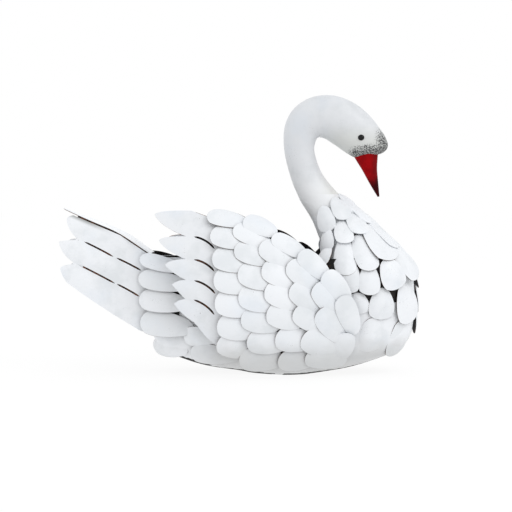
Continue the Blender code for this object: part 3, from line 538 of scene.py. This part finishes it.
def flat_sheet(name, outlines, step, box):
    """Flat sheet in the XZ plane from closed outlines, scored into squares so that it can be bent."""
    curve = bpy.data.curves.new(name, "CURVE")
    curve.dimensions = "2D"
    curve.fill_mode = "BOTH"
    for outline in outlines:
        line = curve.splines.new("POLY")
        line.points.add(len(outline) - 1)
        for point, (x, z) in zip(line.points, outline):
            point.co = (x, z, 0, 1)
        line.use_cyclic_u = True
    item = bpy.data.objects.new(name, curve)
    bpy.context.scene.collection.objects.link(item)
    bpy.context.view_layer.update()
    mesh = plain_mesh(item)
    bpy.data.objects.remove(item, do_unlink=True)
    bm = bmesh.new()
    bm.from_mesh(mesh)
    bpy.data.meshes.remove(mesh)
    bmesh.ops.remove_doubles(bm, verts=bm.verts, dist=0.00002)
    bmesh.ops.dissolve_limit(bm, angle_limit=radians(0.5), verts=bm.verts, edges=bm.edges)
    low, high = box
    for axis in (0, 1):
        count = int((high[axis] - low[axis]) / step)
        for k in range(1, count):
            normal = Vector((1, 0, 0)) if axis == 0 else Vector((0, 1, 0))
            spot = normal * (low[axis] + (high[axis] - low[axis]) * k / count)
            everything = bm.verts[:] + bm.edges[:] + bm.faces[:]
            bmesh.ops.bisect_plane(bm, geom=everything, dist=1e-6, plane_co=spot, plane_no=normal)
    bmesh.ops.triangulate(bm, faces=[f for f in bm.faces if len(f.verts) > 4])
    return bm


def lobe_relief(x, z, notches, fronts, top, low, start, end):
    """Rise of a dished feather of a cut sheet: one along its middle, nothing at its edges and past end."""
    borders = [top]
    for notch, front in zip(notches, fronts):
        borders.append(notch[1] + (front[1] - notch[1]) * (x - notch[0]) / (front[0] - notch[0]))
    borders.append(low)
    for above, below in zip(borders, borders[1:]):
        if below <= z <= above:
            u = (2 * z - above - below) / max(above - below, 1e-6)
            fade = min(max((end - x) / (end - start), 0), 1)
            return (1 - u * u) * fade
    return 0.0


outline = []
tops = (WING_TOP[0],) + WING_NOTCHES
for top, tip, low in zip(tops, WING_TIPS, WING_NOTCHES + (WING_FOOT[-1],)):
    lean = (tip[0] + 0.012, top[1] + 0.35 * (tip[1] - top[1]) + 0.004)
    if tip in WING_TIPS[:2]:                  # the two upper feathers are blunter
        lean = (tip[0] + 0.003, top[1] + 0.1 * (tip[1] - top[1]) + 0.002)
    outline += bezier(top, lean, tip, 12)
    outline += bezier(tip, (tip[0] + 0.014, low[1] + 0.42 * (tip[1] - low[1])), low, 12)
edge = WING_FOOT[::-1] + WING_FRONT[::-1] + WING_TOP[::-1]
for i in range((len(edge) - 1) * 5):
    outline.append(tuple(spline_at(edge, i / 5)))
slits = [
    slit_outline((notch[0] + WING_BRIDGE, notch[1] - 0.0005), end, 0.0090)
    for notch, end in zip(WING_NOTCHES, WING_SLIT_FRONTS)
]
flat = flat_sheet("wing_blank", [outline] + slits, 0.007, ((-0.18, 0.03), (0.21, 0.34)))
for side, word in ((-1, "right"), (1, "left")):
    bm = flat.copy()
    for vert in bm.verts:
        x, z = vert.co.x, vert.co.y
        top, low = 0.33 - 0.3 * (x + 0.1), 0.10 - 0.9 * (x + 0.09)
        rise = lobe_relief(x, z, WING_NOTCHES, WING_SLIT_FRONTS, top, low, -0.07, -0.03)
        drop = LEFT_DROP * min(max((z - 0.26) / 0.04, 0), 1) if side > 0 else 0
        vert.co = (x, side * (wing_out(x, z) + WING_LOBE_RISE * rise), z - drop)
    bm.normal_update()
    if side * sum(f.normal.y for f in bm.faces) < 0:
        bmesh.ops.reverse_faces(bm, faces=bm.faces)
    for face in bm.faces:
        middle = face.calc_center_median()
        inside = middle.z < 0.298 and middle.x > -0.118
        face.material_index = 2 if middle.x > -0.036 else 3 if inside else 0
    # bare on both sides under the ovals, where it also stands as painted shade in the gaps between them,
    # bare inside behind them, painted on both sides at the tips
    wing = add_piece(f"wing_sheet_{word}", bm, [shaded_wing_paint, bare, bare, shaded_wing_paint, rusty_edge])
    thicken(wing, inner=-1, rim=9)
    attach(wing, "root")
    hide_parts(f"wing_{word}")
flat.free()

# ---- small feathers of the wings -----------------------------------------------------------------
# Ovals of thin sheet, dished with a hammer and tack-welded in rows. Each lies over the root of the
# one behind it and over the row below. White outside, dark on the back and along the cut edge.
WING_OVALS = (
    # free end x, z, slope towards the root in degrees, length, width
    (0.0031, 0.3074, -20, 0.071, 0.044), (0.0580, 0.2765, -28, 0.077, 0.038),
    (0.1095, 0.2475, -40, 0.076, 0.042), (0.1560, 0.2110, -48, 0.076, 0.044),
    (0.1880, 0.1700, -68, 0.088, 0.044), (0.2010, 0.1020, -97, 0.068, 0.042),
    (-0.0678, 0.3149, -8, 0.081, 0.043), (-0.0160, 0.2922, -22, 0.078, 0.044),
    (0.0350, 0.2612, -28, 0.076, 0.047), (0.0880, 0.2282, -38, 0.082, 0.047),
    (0.1390, 0.1902, -50, 0.076, 0.047), (-0.0601, 0.2807, -12, 0.076, 0.049),
    (-0.0132, 0.2552, -18, 0.076, 0.046), (0.0395, 0.2212, -24, 0.076, 0.048),
    (0.0930, 0.1862, -36, 0.078, 0.047), (0.1460, 0.1462, -52, 0.090, 0.052),
    (-0.0555, 0.2397, -12, 0.078, 0.049), (-0.0060, 0.2132, -18, 0.078, 0.049),
    (0.0450, 0.1822, -24, 0.078, 0.049), (0.1000, 0.1452, -36, 0.072, 0.047),
    (-0.0524, 0.1997, -10, 0.078, 0.050), (-0.0050, 0.1712, -16, 0.078, 0.049),
    (0.0480, 0.1407, -20, 0.076, 0.050), (0.1140, 0.0952, -28, 0.088, 0.057),
    (-0.0500, 0.1582, -10, 0.080, 0.052), (-0.0005, 0.1297, -14, 0.080, 0.049),
    (0.0635, 0.0897, -10, 0.078, 0.052), (0.1199, 0.0511, -10, 0.088, 0.047),
    (-0.0460, 0.1152, -12, 0.080, 0.052), (0.0100, 0.0832, -6, 0.082, 0.052),
    (0.0690, 0.0422, -2, 0.078, 0.049), (-0.0460, 0.0822, -22, 0.072, 0.051),
    (-0.0050, 0.0462, -4, 0.088, 0.055),
)
TOP_ROW = 6                   # the ovals along the top edge come first and are a piece of their own
LEFT_RISE = {0: -0.0030, 2: 0.0035, 6: -0.0028}     # three ovals of the left wing sit lower or higher
OVAL_CROWN = 0.0055
FREE_LIFT = 0.0095            # how far the free end stands off the sheet
ROOT_LIFT = 0.0015
SIDE_LIFT = 0.0060            # how much further the lower edge stands off than the upper one
USUAL_WIDTH = 0.048


def oval_tree():
    """Geometry Nodes: a dished steel oval on every point, turned and sized by the point."""
    tree = bpy.data.node_groups.new("steel_ovals", "GeometryNodeTree")
    panel = tree.interface
    panel.new_socket("Points", in_out="INPUT", socket_type="NodeSocketGeometry")
    for label, kind, default in (
        ("Crown", "NodeSocketFloat", OVAL_CROWN), ("Thickness", "NodeSocketFloat", 0.001),
        ("Taper", "NodeSocketFloat", 0.16), ("Roundness", "NodeSocketFloat", 0.43),
        ("Rows", "NodeSocketInt", 10), ("Lower", "NodeSocketFloat", 0.0),
        ("Seed", "NodeSocketInt", 7), ("Paint", "NodeSocketMaterial", None),
        ("Back", "NodeSocketMaterial", None), ("Edge", "NodeSocketMaterial", None),
    ):
        made = panel.new_socket(label, in_out="INPUT", socket_type=kind)
        if default is not None:
            made.default_value = default
    panel.new_socket("Ovals", in_out="OUTPUT", socket_type="NodeSocketGeometry")
    given = add_node(tree, "NodeGroupInput").outputs
    square = {"Size X": 2.0, "Size Y": 2.0, "Vertices X": given["Rows"], "Vertices Y": given["Rows"]}
    grid = add_node(tree, "GeometryNodeMeshGrid", square).outputs["Mesh"]
    spot = add_node(tree, "GeometryNodeInputPosition").outputs[0]
    split = add_node(tree, "ShaderNodeSeparateXYZ", {0: spot}).outputs
    gx, gy = split["X"], split["Y"]
    half_y = calc(tree, "MULTIPLY", calc(tree, "MULTIPLY", gy, gy), given["Roundness"])
    half_x = calc(tree, "MULTIPLY", calc(tree, "MULTIPLY", gx, gx), given["Roundness"])
    ux = calc(tree, "MULTIPLY", gx, calc(tree, "SQRT", calc(tree, "SUBTRACT", 1.0, half_y)))
    uy = calc(tree, "MULTIPLY", gy, calc(tree, "SQRT", calc(tree, "SUBTRACT", 1.0, half_x)))
    far = calc(tree, "ADD", calc(tree, "MULTIPLY", ux, ux), calc(tree, "MULTIPLY", uy, uy))
    narrow = calc(tree, "SUBTRACT", 1.0, calc(tree, "MULTIPLY", ux, given["Taper"]))
    rise = calc(tree, "MULTIPLY", calc(tree, "SUBTRACT", 1.0, far), given["Crown"])
    place = add_node(tree, "ShaderNodeCombineXYZ", {
        "X": calc(tree, "MULTIPLY", ux, 0.5),
        "Y": calc(tree, "MULTIPLY", calc(tree, "MULTIPLY", uy, narrow), 0.5),
        "Z": rise,
    }).outputs[0]
    # rim marks the free end and, through Lower, the lower edge: partly dark wash, partly painted shadow.
    free_rim, lower_rim = calc(tree, "MULTIPLY", gx, -0.975), calc(tree, "MULTIPLY", gy, given["Lower"])
    marked = add_node(tree, "GeometryNodeStoreNamedAttribute",
                      {"Geometry": grid, "Name": "rim", "Value": calc(tree, "MAXIMUM", free_rim, lower_rim)},
                      data_type="FLOAT", domain="POINT").outputs[0]
    dished = add_node(tree, "GeometryNodeSetPosition", {"Geometry": marked, "Position": place}).outputs[0]
    up = add_node(tree, "ShaderNodeCombineXYZ", {"Z": 1.0}).outputs[0]
    raised = add_node(tree, "GeometryNodeExtrudeMesh",
                      {"Mesh": dished, "Offset": up, "Offset Scale": given["Thickness"], "Individual": False})
    side = add_node(tree, "GeometryNodeStoreNamedAttribute",
                    {"Geometry": raised.outputs["Mesh"], "Name": "is_edge", "Value": raised.outputs["Side"]},
                    data_type="BOOLEAN", domain="FACE").outputs[0]
    flipped = add_node(tree, "GeometryNodeFlipFaces", {"Mesh": dished}).outputs[0]
    under = add_node(tree, "GeometryNodeStoreNamedAttribute",
                     {"Geometry": flipped, "Name": "is_back", "Value": True},
                     data_type="BOOLEAN", domain="FACE").outputs[0]
    join = add_node(tree, "GeometryNodeJoinGeometry")
    tree.links.new(side, join.inputs[0])
    tree.links.new(under, join.inputs[0])
    oval = add_node(tree, "GeometryNodeMergeByDistance",
                    {"Geometry": join.outputs[0], "Distance": 1e-6}).outputs[0]
    turn = add_node(tree, "GeometryNodeInputNamedAttribute", {"Name": "turn"}, data_type="FLOAT_VECTOR")
    size = add_node(tree, "GeometryNodeInputNamedAttribute", {"Name": "size"}, data_type="FLOAT_VECTOR")
    set_out = add_node(tree, "GeometryNodeInstanceOnPoints",
                       {"Points": given["Points"], "Instance": oval, "Rotation": turn.outputs["Attribute"],
                        "Scale": size.outputs["Attribute"]}).outputs[0]
    chance = add_node(tree, "FunctionNodeRandomValue", {"Seed": given["Seed"]}, data_type="FLOAT").outputs[1]
    toned = add_node(tree, "GeometryNodeStoreNamedAttribute",
                     {"Geometry": set_out, "Name": "tone", "Value": chance},
                     data_type="FLOAT", domain="INSTANCE").outputs[0]
    solid = add_node(tree, "GeometryNodeRealizeInstances", {"Geometry": toned}).outputs[0]
    smooth = add_node(tree, "GeometryNodeSetShadeSmooth", {"Geometry": solid, "Shade Smooth": True},
                      domain="FACE").outputs[0]
    angle = add_node(tree, "GeometryNodeInputMeshEdgeAngle").outputs["Unsigned Angle"]
    crisp = add_node(tree, "GeometryNodeSetShadeSmooth",
                     {"Geometry": smooth, "Selection": calc(tree, "GREATER_THAN", angle, 0.8),
                      "Shade Smooth": False}, domain="EDGE").outputs[0]
    out = crisp
    for label, flag in (("Paint", None), ("Back", "is_back"), ("Edge", "is_edge")):
        wanted = {"Geometry": out, "Material": given[label]}
        if flag:
            wanted["Selection"] = add_node(tree, "GeometryNodeInputNamedAttribute", {"Name": flag},
                                           data_type="BOOLEAN").outputs["Attribute"]
        out = add_node(tree, "GeometryNodeSetMaterial", wanted).outputs[0]
    add_node(tree, "NodeGroupOutput", {0: out})
    return tree


def oval_ends(x, z, slope, length, out_at, side):
    """Free end and root of an oval on a surface that lies out_at(x, z) from the middle plane."""
    root_x, root_z = x + length * cos(radians(slope)), z + length * sin(radians(slope))
    return Vector((x, side * out_at(x, z), z)), Vector((root_x, side * out_at(root_x, root_z), root_z))


def oval_seat(free, root, out, lift=FREE_LIFT, rolled=True):
    """Middle and turn of an oval between two points of a surface that faces out."""
    start, end = free + out * lift, root + out * ROOT_LIFT
    along = (end - start).normalized()
    across = out.cross(along).normalized()
    face = along.cross(across).normalized()
    if rolled:
        lean = SIDE_LIFT / USUAL_WIDTH * (1 if across.z < 0 else -1)
        across = (across + face * lean).normalized()
        face = along.cross(across).normalized()
    turn = Matrix((along, across, face)).transposed().to_euler()
    return (start + end) / 2, turn


def lay_ovals(name, seats, sizes, seed, mats, taper=0.16, lower=0.0):
    """Run the oval tree over a cloud of points and keep the result as a plain mesh."""
    mesh = bpy.data.meshes.new(name)
    mesh.from_pydata([tuple(spot + Vector((SHIFT, 0, 0))) for spot, turn in seats], [], [])
    turns = mesh.attributes.new("turn", "FLOAT_VECTOR", "POINT")
    turns.data.foreach_set("vector", [v for spot, turn in seats for v in turn])
    spans = mesh.attributes.new("size", "FLOAT_VECTOR", "POINT")
    spans.data.foreach_set("vector", [v for length, width in sizes for v in (length, width, 1.0)])
    item = bpy.data.objects.new(name, mesh)
    bpy.context.scene.collection.objects.link(item)
    modifier = item.modifiers.new("ovals", "NODES")
    modifier.node_group = OVALS
    sockets = {s.name: s.identifier for s in OVALS.interface.items_tree if s.in_out == "INPUT"}
    modifier[sockets["Taper"]] = taper
    modifier[sockets["Lower"]] = lower
    modifier[sockets["Seed"]] = seed
    for label, mat in zip(("Paint", "Back", "Edge"), mats):
        modifier[sockets[label]] = mat
    made = plain_mesh(item)
    item.modifiers.remove(modifier)
    item.data = made
    bpy.data.meshes.remove(mesh)
    made.name = name
    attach(item, "root")
    return item


def wing_normal(x, z, side):
    """Way out of the wing sheet."""
    step = 0.001
    dx = (wing_out(x + step, z) - wing_out(x - step, z)) / (2 * step)
    dz = (wing_out(x, z + step) - wing_out(x, z - step)) / (2 * step)
    return Vector((-dx, side, -dz)).normalized()


OVALS = oval_tree()
oval_paint = white_paint("oval_paint", on_ovals=True)
OVAL_MATS = (oval_paint, bare, cut_edge)
HIGH_MATS = (oval_paint, paint, paint)        # high on the right wing and the breast, the backs are white
WING_PARTS = (
    (-1, "right", TOP_ROW, len(WING_OVALS)), (1, "left", TOP_ROW, len(WING_OVALS)),
    (-1, "top_right", 0, TOP_ROW), (1, "top_left", 0, TOP_ROW),
)
for side, word, first, end in WING_PARTS:
    seats, sizes = [], []
    for index, (x, z, slope, length, width) in enumerate(WING_OVALS[first:end], first):
        z += LEFT_RISE.get(index, 0) if side > 0 else 0
        free, root = oval_ends(x, z, slope, length, wing_out, side)
        middle = (free + root) / 2
        seats.append(oval_seat(free, root, wing_normal(middle.x, middle.z, side)))
        sizes.append((length, width))
    mats = HIGH_MATS if word == "top_right" else OVAL_MATS
    lay_ovals(f"wing_ovals_{word}", seats, sizes, 11, mats, lower=side)

# ---- tail fans -----------------------------------------------------------------------------------
# Two upright sheets, each cut into three long feathers by slits and notches, and welded along the
# stern. White outside and at the tips, rusty inside.
TAIL_HALF = 0.0485
TAIL_FLARE = 0.045            # how far a fan swings out for each metre behind its root
TAIL_ROOT_X = -0.160
TAIL_LOBE_RISE = 0.004
TAIL_TIPS = ((-0.3494, 0.3090), (-0.3648, 0.2662), (-0.3620, 0.2124))
TAIL_NOTCHES = ((-0.3270, 0.2702), (-0.3330, 0.2223))
TAIL_TOP_EDGE = ((-0.1250, 0.2140), (-0.1834, 0.2385), (-0.2173, 0.2615), (-0.2432, 0.2795),
                 (-0.3031, 0.3050), (-0.3364, 0.3195))
TAIL_LOW_EDGE = ((-0.3489, 0.1840), (-0.3100, 0.1560), (-0.2600, 0.1225), (-0.2053, 0.0887),
                 (-0.1650, 0.0760))
TAIL_SLITS = (((-0.3155, 0.2668), (-0.2572, 0.2363)), ((-0.2515, 0.2343), (-0.2014, 0.2084)),
              ((-0.3275, 0.2213), (-0.2532, 0.1824)), ((-0.2508, 0.1822), (-0.2053, 0.1565)))
TAIL_SLIT_FRONTS = (TAIL_SLITS[1][1], TAIL_SLITS[3][1])
TAIL_SLIT_HALF = 0.0018


def tail_out(x, z):
    """Distance of a tail fan from the middle plane: along the stern, then straight."""
    if x <= TAIL_ROOT_X:
        return TAIL_HALF + TAIL_FLARE * (TAIL_ROOT_X - x)
    return TAIL_HALF + bowl_half_width(x, 0.16) - bowl_half_width(TAIL_ROOT_X, 0.16)


def shadowed_tail_paint():
    """The white paint with painted shadow of the top feather along the fan's top edge, fading towards the
    root.
    """
    mat = white_paint("shadowed_tail_paint")
    tree = mat.node_tree
    shader = tree.nodes["Principled BSDF"]
    place = add_node(tree, "ShaderNodeTexCoord").outputs["Object"]
    split = add_node(tree, "ShaderNodeSeparateXYZ", {0: place}).outputs
    level = calc(tree, "MULTIPLY", calc(tree, "ADD", split["X"], 0.333), 0.439)
    # Painted shadow: greyer just below the top feather's line, strongest towards the tip.
    feather_shadow_band = ramp(tree, calc(tree, "ADD", split["Z"], level), 0.310, 0.320, 0, 0.75)
    shade = calc(tree, "MULTIPLY", feather_shadow_band, ramp(tree, split["X"], -0.250, -0.310))
    came = shader.inputs["Base Color"].links[0].from_socket
    tree.links.new(blend_colour(tree, shade, came, (0.20, 0.21, 0.20, 1)), shader.inputs["Base Color"])
    return mat


outline = list(TAIL_TOP_EDGE)
tops = (TAIL_TOP_EDGE[-1],) + TAIL_NOTCHES
for top, tip, low in zip(tops, TAIL_TIPS, TAIL_NOTCHES + (TAIL_LOW_EDGE[0],)):
    outline += bezier(top, (tip[0] - 0.001, top[1] + 0.1 * (tip[1] - top[1])), tip, 12)[1:]
    outline += bezier(tip, (tip[0] + 0.003, low[1] + 0.45 * (tip[1] - low[1])), low, 12)
outline += TAIL_LOW_EDGE
outline.append((TAIL_TOP_EDGE[0][0], 0.100))
slits = [slit_outline(start, end, 0.0015, half=TAIL_SLIT_HALF) for start, end in TAIL_SLITS]
fan_paint = shadowed_tail_paint()
flat = flat_sheet("tail_blank", [outline] + slits, 0.008, ((-0.37, 0.07), (-0.12, 0.32)))
for side, word in ((-1, "right"), (1, "left")):
    bm = flat.copy()
    for vert in bm.verts:
        x, z = vert.co.x, vert.co.y
        top, low = 0.325 + 0.5 * (x + 0.34), 0.18 - 0.67 * (x + 0.34)
        rise = lobe_relief(x, z, TAIL_NOTCHES, TAIL_SLIT_FRONTS, top, low, -0.24, -0.16)
        vert.co = (x, side * (tail_out(x, z) + TAIL_LOBE_RISE * rise), z)
    bm.normal_update()
    if side * sum(f.normal.y for f in bm.faces) < 0:
        bmesh.ops.reverse_faces(bm, faces=bm.faces)
    for face in bm.faces:
        middle = face.calc_center_median()
        at_tip = middle.x < (-0.335 if middle.z < 0.305 else -0.350)
        face.material_index = 2 if at_tip else 4 if middle.x > -0.178 else 0
    # rusty inside, painted on both sides at the tips, bare on both sides under the ovals, where it also
    # stands as painted shade in the gaps between them
    fan = add_piece(f"tail_fan_{word}", bm, [fan_paint, rusty, paint, paint, bare, bare, cut_edge])
    thicken(fan, inner=1, rim=9)
    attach(fan, "root")
    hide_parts(f"tail_{word}")
flat.free()

# ---- feathers over the root of the tail and on the stern -----------------------------------------
# The same dished ovals, four over the root of each fan and three low on each side of the stern.
TAIL_OVALS = (
    # free end x, z, slope towards the root in degrees, length, width
    (-0.2042, 0.2340, -14, 0.095, 0.031), (-0.2070, 0.1955, -9, 0.105, 0.040),
    (-0.2060, 0.1530, -6, 0.105, 0.044), (-0.2035, 0.1085, -7, 0.110, 0.050),
)
STERN_OVALS = (
    (-0.1850, 0.0590, -7, 0.084, 0.041), (-0.1150, 0.0840, -5, 0.070, 0.042),
    (-0.1020, 0.0510, -7, 0.098, 0.042),
)
for side, word in ((-1, "right"), (1, "left")):
    seats, sizes = [], []
    on_fan, on_stern = Vector((0, side, 0)), Vector((-0.25, side, -0.45)).normalized()
    for ovals, out_at, out in ((TAIL_OVALS, tail_out, on_fan), (STERN_OVALS, bowl_half_width, on_stern)):
        for x, z, slope, length, width in ovals:
            free, root = oval_ends(x, z, slope, length, out_at, side)
            seats.append(oval_seat(free, root, out))
            sizes.append((length, width))
    lay_ovals(f"tail_ovals_{word}", seats, sizes, 23, OVAL_MATS, taper=0.24, lower=side)

# ---- top feather of the tail ---------------------------------------------------------------------
# One flat pointed feather laid over the gap between the two fans, bent up towards its tip.
TOP_FEATHER_LINE = ((-0.1840, 0.2430), (-0.2432, 0.2835), (-0.3031, 0.3095), (-0.3657, 0.3345))
TOP_FEATHER_HALF = 0.058
TOP_FEATHER_SAG = 0.0015      # how far its long edges lie below its middle
LENGTHS = 36
STRIPS = 16
bm = bmesh.new()
rows = []
for j in range(LENGTHS + 1):
    t = j / LENGTHS
    x, z = spline_at(TOP_FEATHER_LINE, t * (len(TOP_FEATHER_LINE) - 1))
    half = max(TOP_FEATHER_HALF * min(1, 0.8 + t) * (1 - t ** 3) ** 0.7, 0.002)
    shares = [2 * i / STRIPS - 1 for i in range(STRIPS + 1)]
    rows.append([bm.verts.new((x, half * share, z - TOP_FEATHER_SAG * share ** 2)) for share in shares])
for low, high in zip(rows, rows[1:]):
    for i in range(STRIPS):
        bm.faces.new((low[i], low[i + 1], high[i + 1], high[i]))
bm.normal_update()
if sum(f.normal.z for f in bm.faces) < 0:
    bmesh.ops.reverse_faces(bm, faces=bm.faces)
# Painted light: a brighter copy of the white, for the lit top of the feather.
lit_feather_paint = white_paint("lit_feather_paint", strength=1.12)
top_feather = add_piece("tail_top_feather", bm, [lit_feather_paint, bare, cut_edge])
thicken(top_feather, inner=1, rim=2)
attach(top_feather, "root")
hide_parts("tail_top")

# ---- feathers of the breast and the neck's foot --------------------------------------------------
# Dished ovals hung like shingles around the breast, free end down, each row over the one below it.
BREAST_OVALS = (
    # turn from straight ahead and height of the free end, the same of the root, width, lift
    (82, 0.307, 58, 0.354, 0.038, 0.007), (123, 0.285, 104, 0.338, 0.037, 0.007),
    (70.5, 0.278, 52, 0.326, 0.043, 0.007), (89.5, 0.260, 88.5, 0.308, 0.037, 0.008),
    (126, 0.244, 128, 0.292, 0.039, 0.007),
    (79, 0.199, 91, 0.276, 0.043, 0.009), (64.5, 0.207, 76, 0.280, 0.046, 0.010),
    (47.8, 0.227, 46, 0.302, 0.066, 0.006), (92, 0.214, 134, 0.262, 0.040, 0.004),
    (75, 0.169, 80, 0.228, 0.045, 0.008), (62, 0.164, 67, 0.224, 0.044, 0.009),
    (42, 0.174, 53.5, 0.235, 0.057, 0.010), (16, 0.188, 34, 0.258, 0.068, 0.015),
    (66, 0.127, 69, 0.170, 0.046, 0.002), (51.5, 0.116, 53.5, 0.178, 0.055, 0.003),
    (24.5, 0.105, 34, 0.186, 0.066, 0.006),
    (50.5, 0.050, 57, 0.120, 0.056, 0.001), (16, 0.041, 33, 0.116, 0.064, 0.009),
    (33, 0.300, 20, 0.350, 0.044, 0.004), (45, 0.318, 10, 0.362, 0.034, 0.003),
    (28, 0.250, 19, 0.312, 0.052, 0.005),
)
FRONT_OVALS = (
    # turn, height of the free end and of the root, width, lift
    (0, 0.325, 0.362, 0.030, 0.003), (0, 0.282, 0.335, 0.038, 0.004), (0, 0.222, 0.290, 0.046, 0.007),
    (0, 0.168, 0.235, 0.046, 0.010), (0, 0.120, 0.188, 0.048, 0.008), (0, 0.078, 0.140, 0.048, 0.009),
    (0, 0.041, 0.100, 0.048, 0.009),
)
LEFT_TURN = 112               # degrees; on the left no oval hangs further round than this
HIGH_FROM = 0.24              # ovals whose free end lies above this make a piece of their own
seats, sizes = [], []
wanted = [(min(a, LEFT_TURN), z, min(b, LEFT_TURN), *rest) for a, z, b, *rest in BREAST_OVALS]
wanted += [(-a, z, -b, *rest) for a, z, b, *rest in BREAST_OVALS]
wanted += [(a, z, a, *rest) for a, z, *rest in FRONT_OVALS]
for low_turn, low_z, high_turn, high_z, width, lift in wanted:
    a, b = radians(low_turn), radians(high_turn)
    free, root = breast_point(a, low_z), breast_point(b, high_z)
    middle_turn, middle_z = (a + b) / 2, (low_z + high_z) / 2
    beside = breast_point(middle_turn + 0.05, middle_z) - breast_point(middle_turn - 0.05, middle_z)
    out = beside.cross(root - free).normalized()
    seats.append(oval_seat(free, root, out, lift, rolled=False))
    sizes.append(((root - free).length, width))
high = [i for i, row in enumerate(wanted) if row[1] > HIGH_FROM]
low = [i for i, row in enumerate(wanted) if row[1] <= HIGH_FROM]
for word, picked, mats in (("high", high, HIGH_MATS), ("low", low, OVAL_MATS)):
    own_seats, own_sizes = [seats[i] for i in picked], [sizes[i] for i in picked]
    item = lay_ovals(f"breast_ovals_{word}", own_seats, own_sizes, 5, mats, taper=0.26)
    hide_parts("breast")

# ---- stays ---------------------------------------------------------------------------------------
# Short steel rods that hold the wings off the trunk, out of sight behind them.
for word in ("left_front", "left_rear", "right_front", "right_rear"):
    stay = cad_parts[f"wing_stay_{word}"]
    stay.data.materials.clear()
    stay.data.materials.append(bare)

# ---- floor, light and camera ---------------------------------------------------------------------
# A plain white floor under an even white sky, with a large soft lamp high on the front right and a
# weak one low on the left. The camera looks level at the swan's right side.
floor_mesh = bpy.data.meshes.new("floor")
floor_mesh.from_pydata([(-30, -30, 0), (30, -30, 0), (30, 30, 0), (-30, 30, 0)], [], [(0, 1, 2, 3)])
floor = bpy.data.objects.new("floor", floor_mesh)
bpy.context.scene.collection.objects.link(floor)
mat = bpy.data.materials.new("floor_white")
mat.use_nodes = True
shader = mat.node_tree.nodes["Principled BSDF"]
shader.inputs["Base Color"].default_value = (0.08, 0.08, 0.08, 1)
shader.inputs["Roughness"].default_value = 1.0
shader.inputs["Specular IOR Level"].default_value = 0.0
shader.inputs["Emission Color"].default_value = (1, 1, 1, 1)
shader.inputs["Emission Strength"].default_value = 0.92
floor_mesh.materials.append(mat)

world = bpy.data.worlds.new("studio")
bpy.context.scene.world = world
world.use_nodes = True
world.node_tree.nodes["Background"].inputs["Color"].default_value = (1, 1, 1, 1)
world.node_tree.nodes["Background"].inputs["Strength"].default_value = 1.0
for name, spot, aim, energy, size in (
    ("key", (2.0, -1.5, 2.3), (0.05, 0, 0.22), 19, 1.6),
    ("fill", (-2.0, -1.4, 0.9), (0, 0, 0.25), 4, 1.0),
):
    lamp = bpy.data.lights.new(name, "AREA")
    lamp.energy = energy
    lamp.size = size
    item = bpy.data.objects.new(name, lamp)
    bpy.context.scene.collection.objects.link(item)
    item.location = spot
    item.rotation_euler = (Vector(aim) - Vector(spot)).to_track_quat("-Z", "Y").to_euler()

lens = bpy.data.cameras.new("camera")
lens.sensor_width = 36
lens.lens = 75.4453
lens.shift_y = -0.0996
camera = bpy.data.objects.new("camera", lens)
bpy.context.scene.collection.objects.link(camera)
camera.location = (0.028 + SHIFT, -2.2, 0.34)
camera.rotation_euler = (pi / 2, 0, 0)
bpy.context.scene.camera = camera
bpy.context.scene.view_settings.view_transform = "Standard"
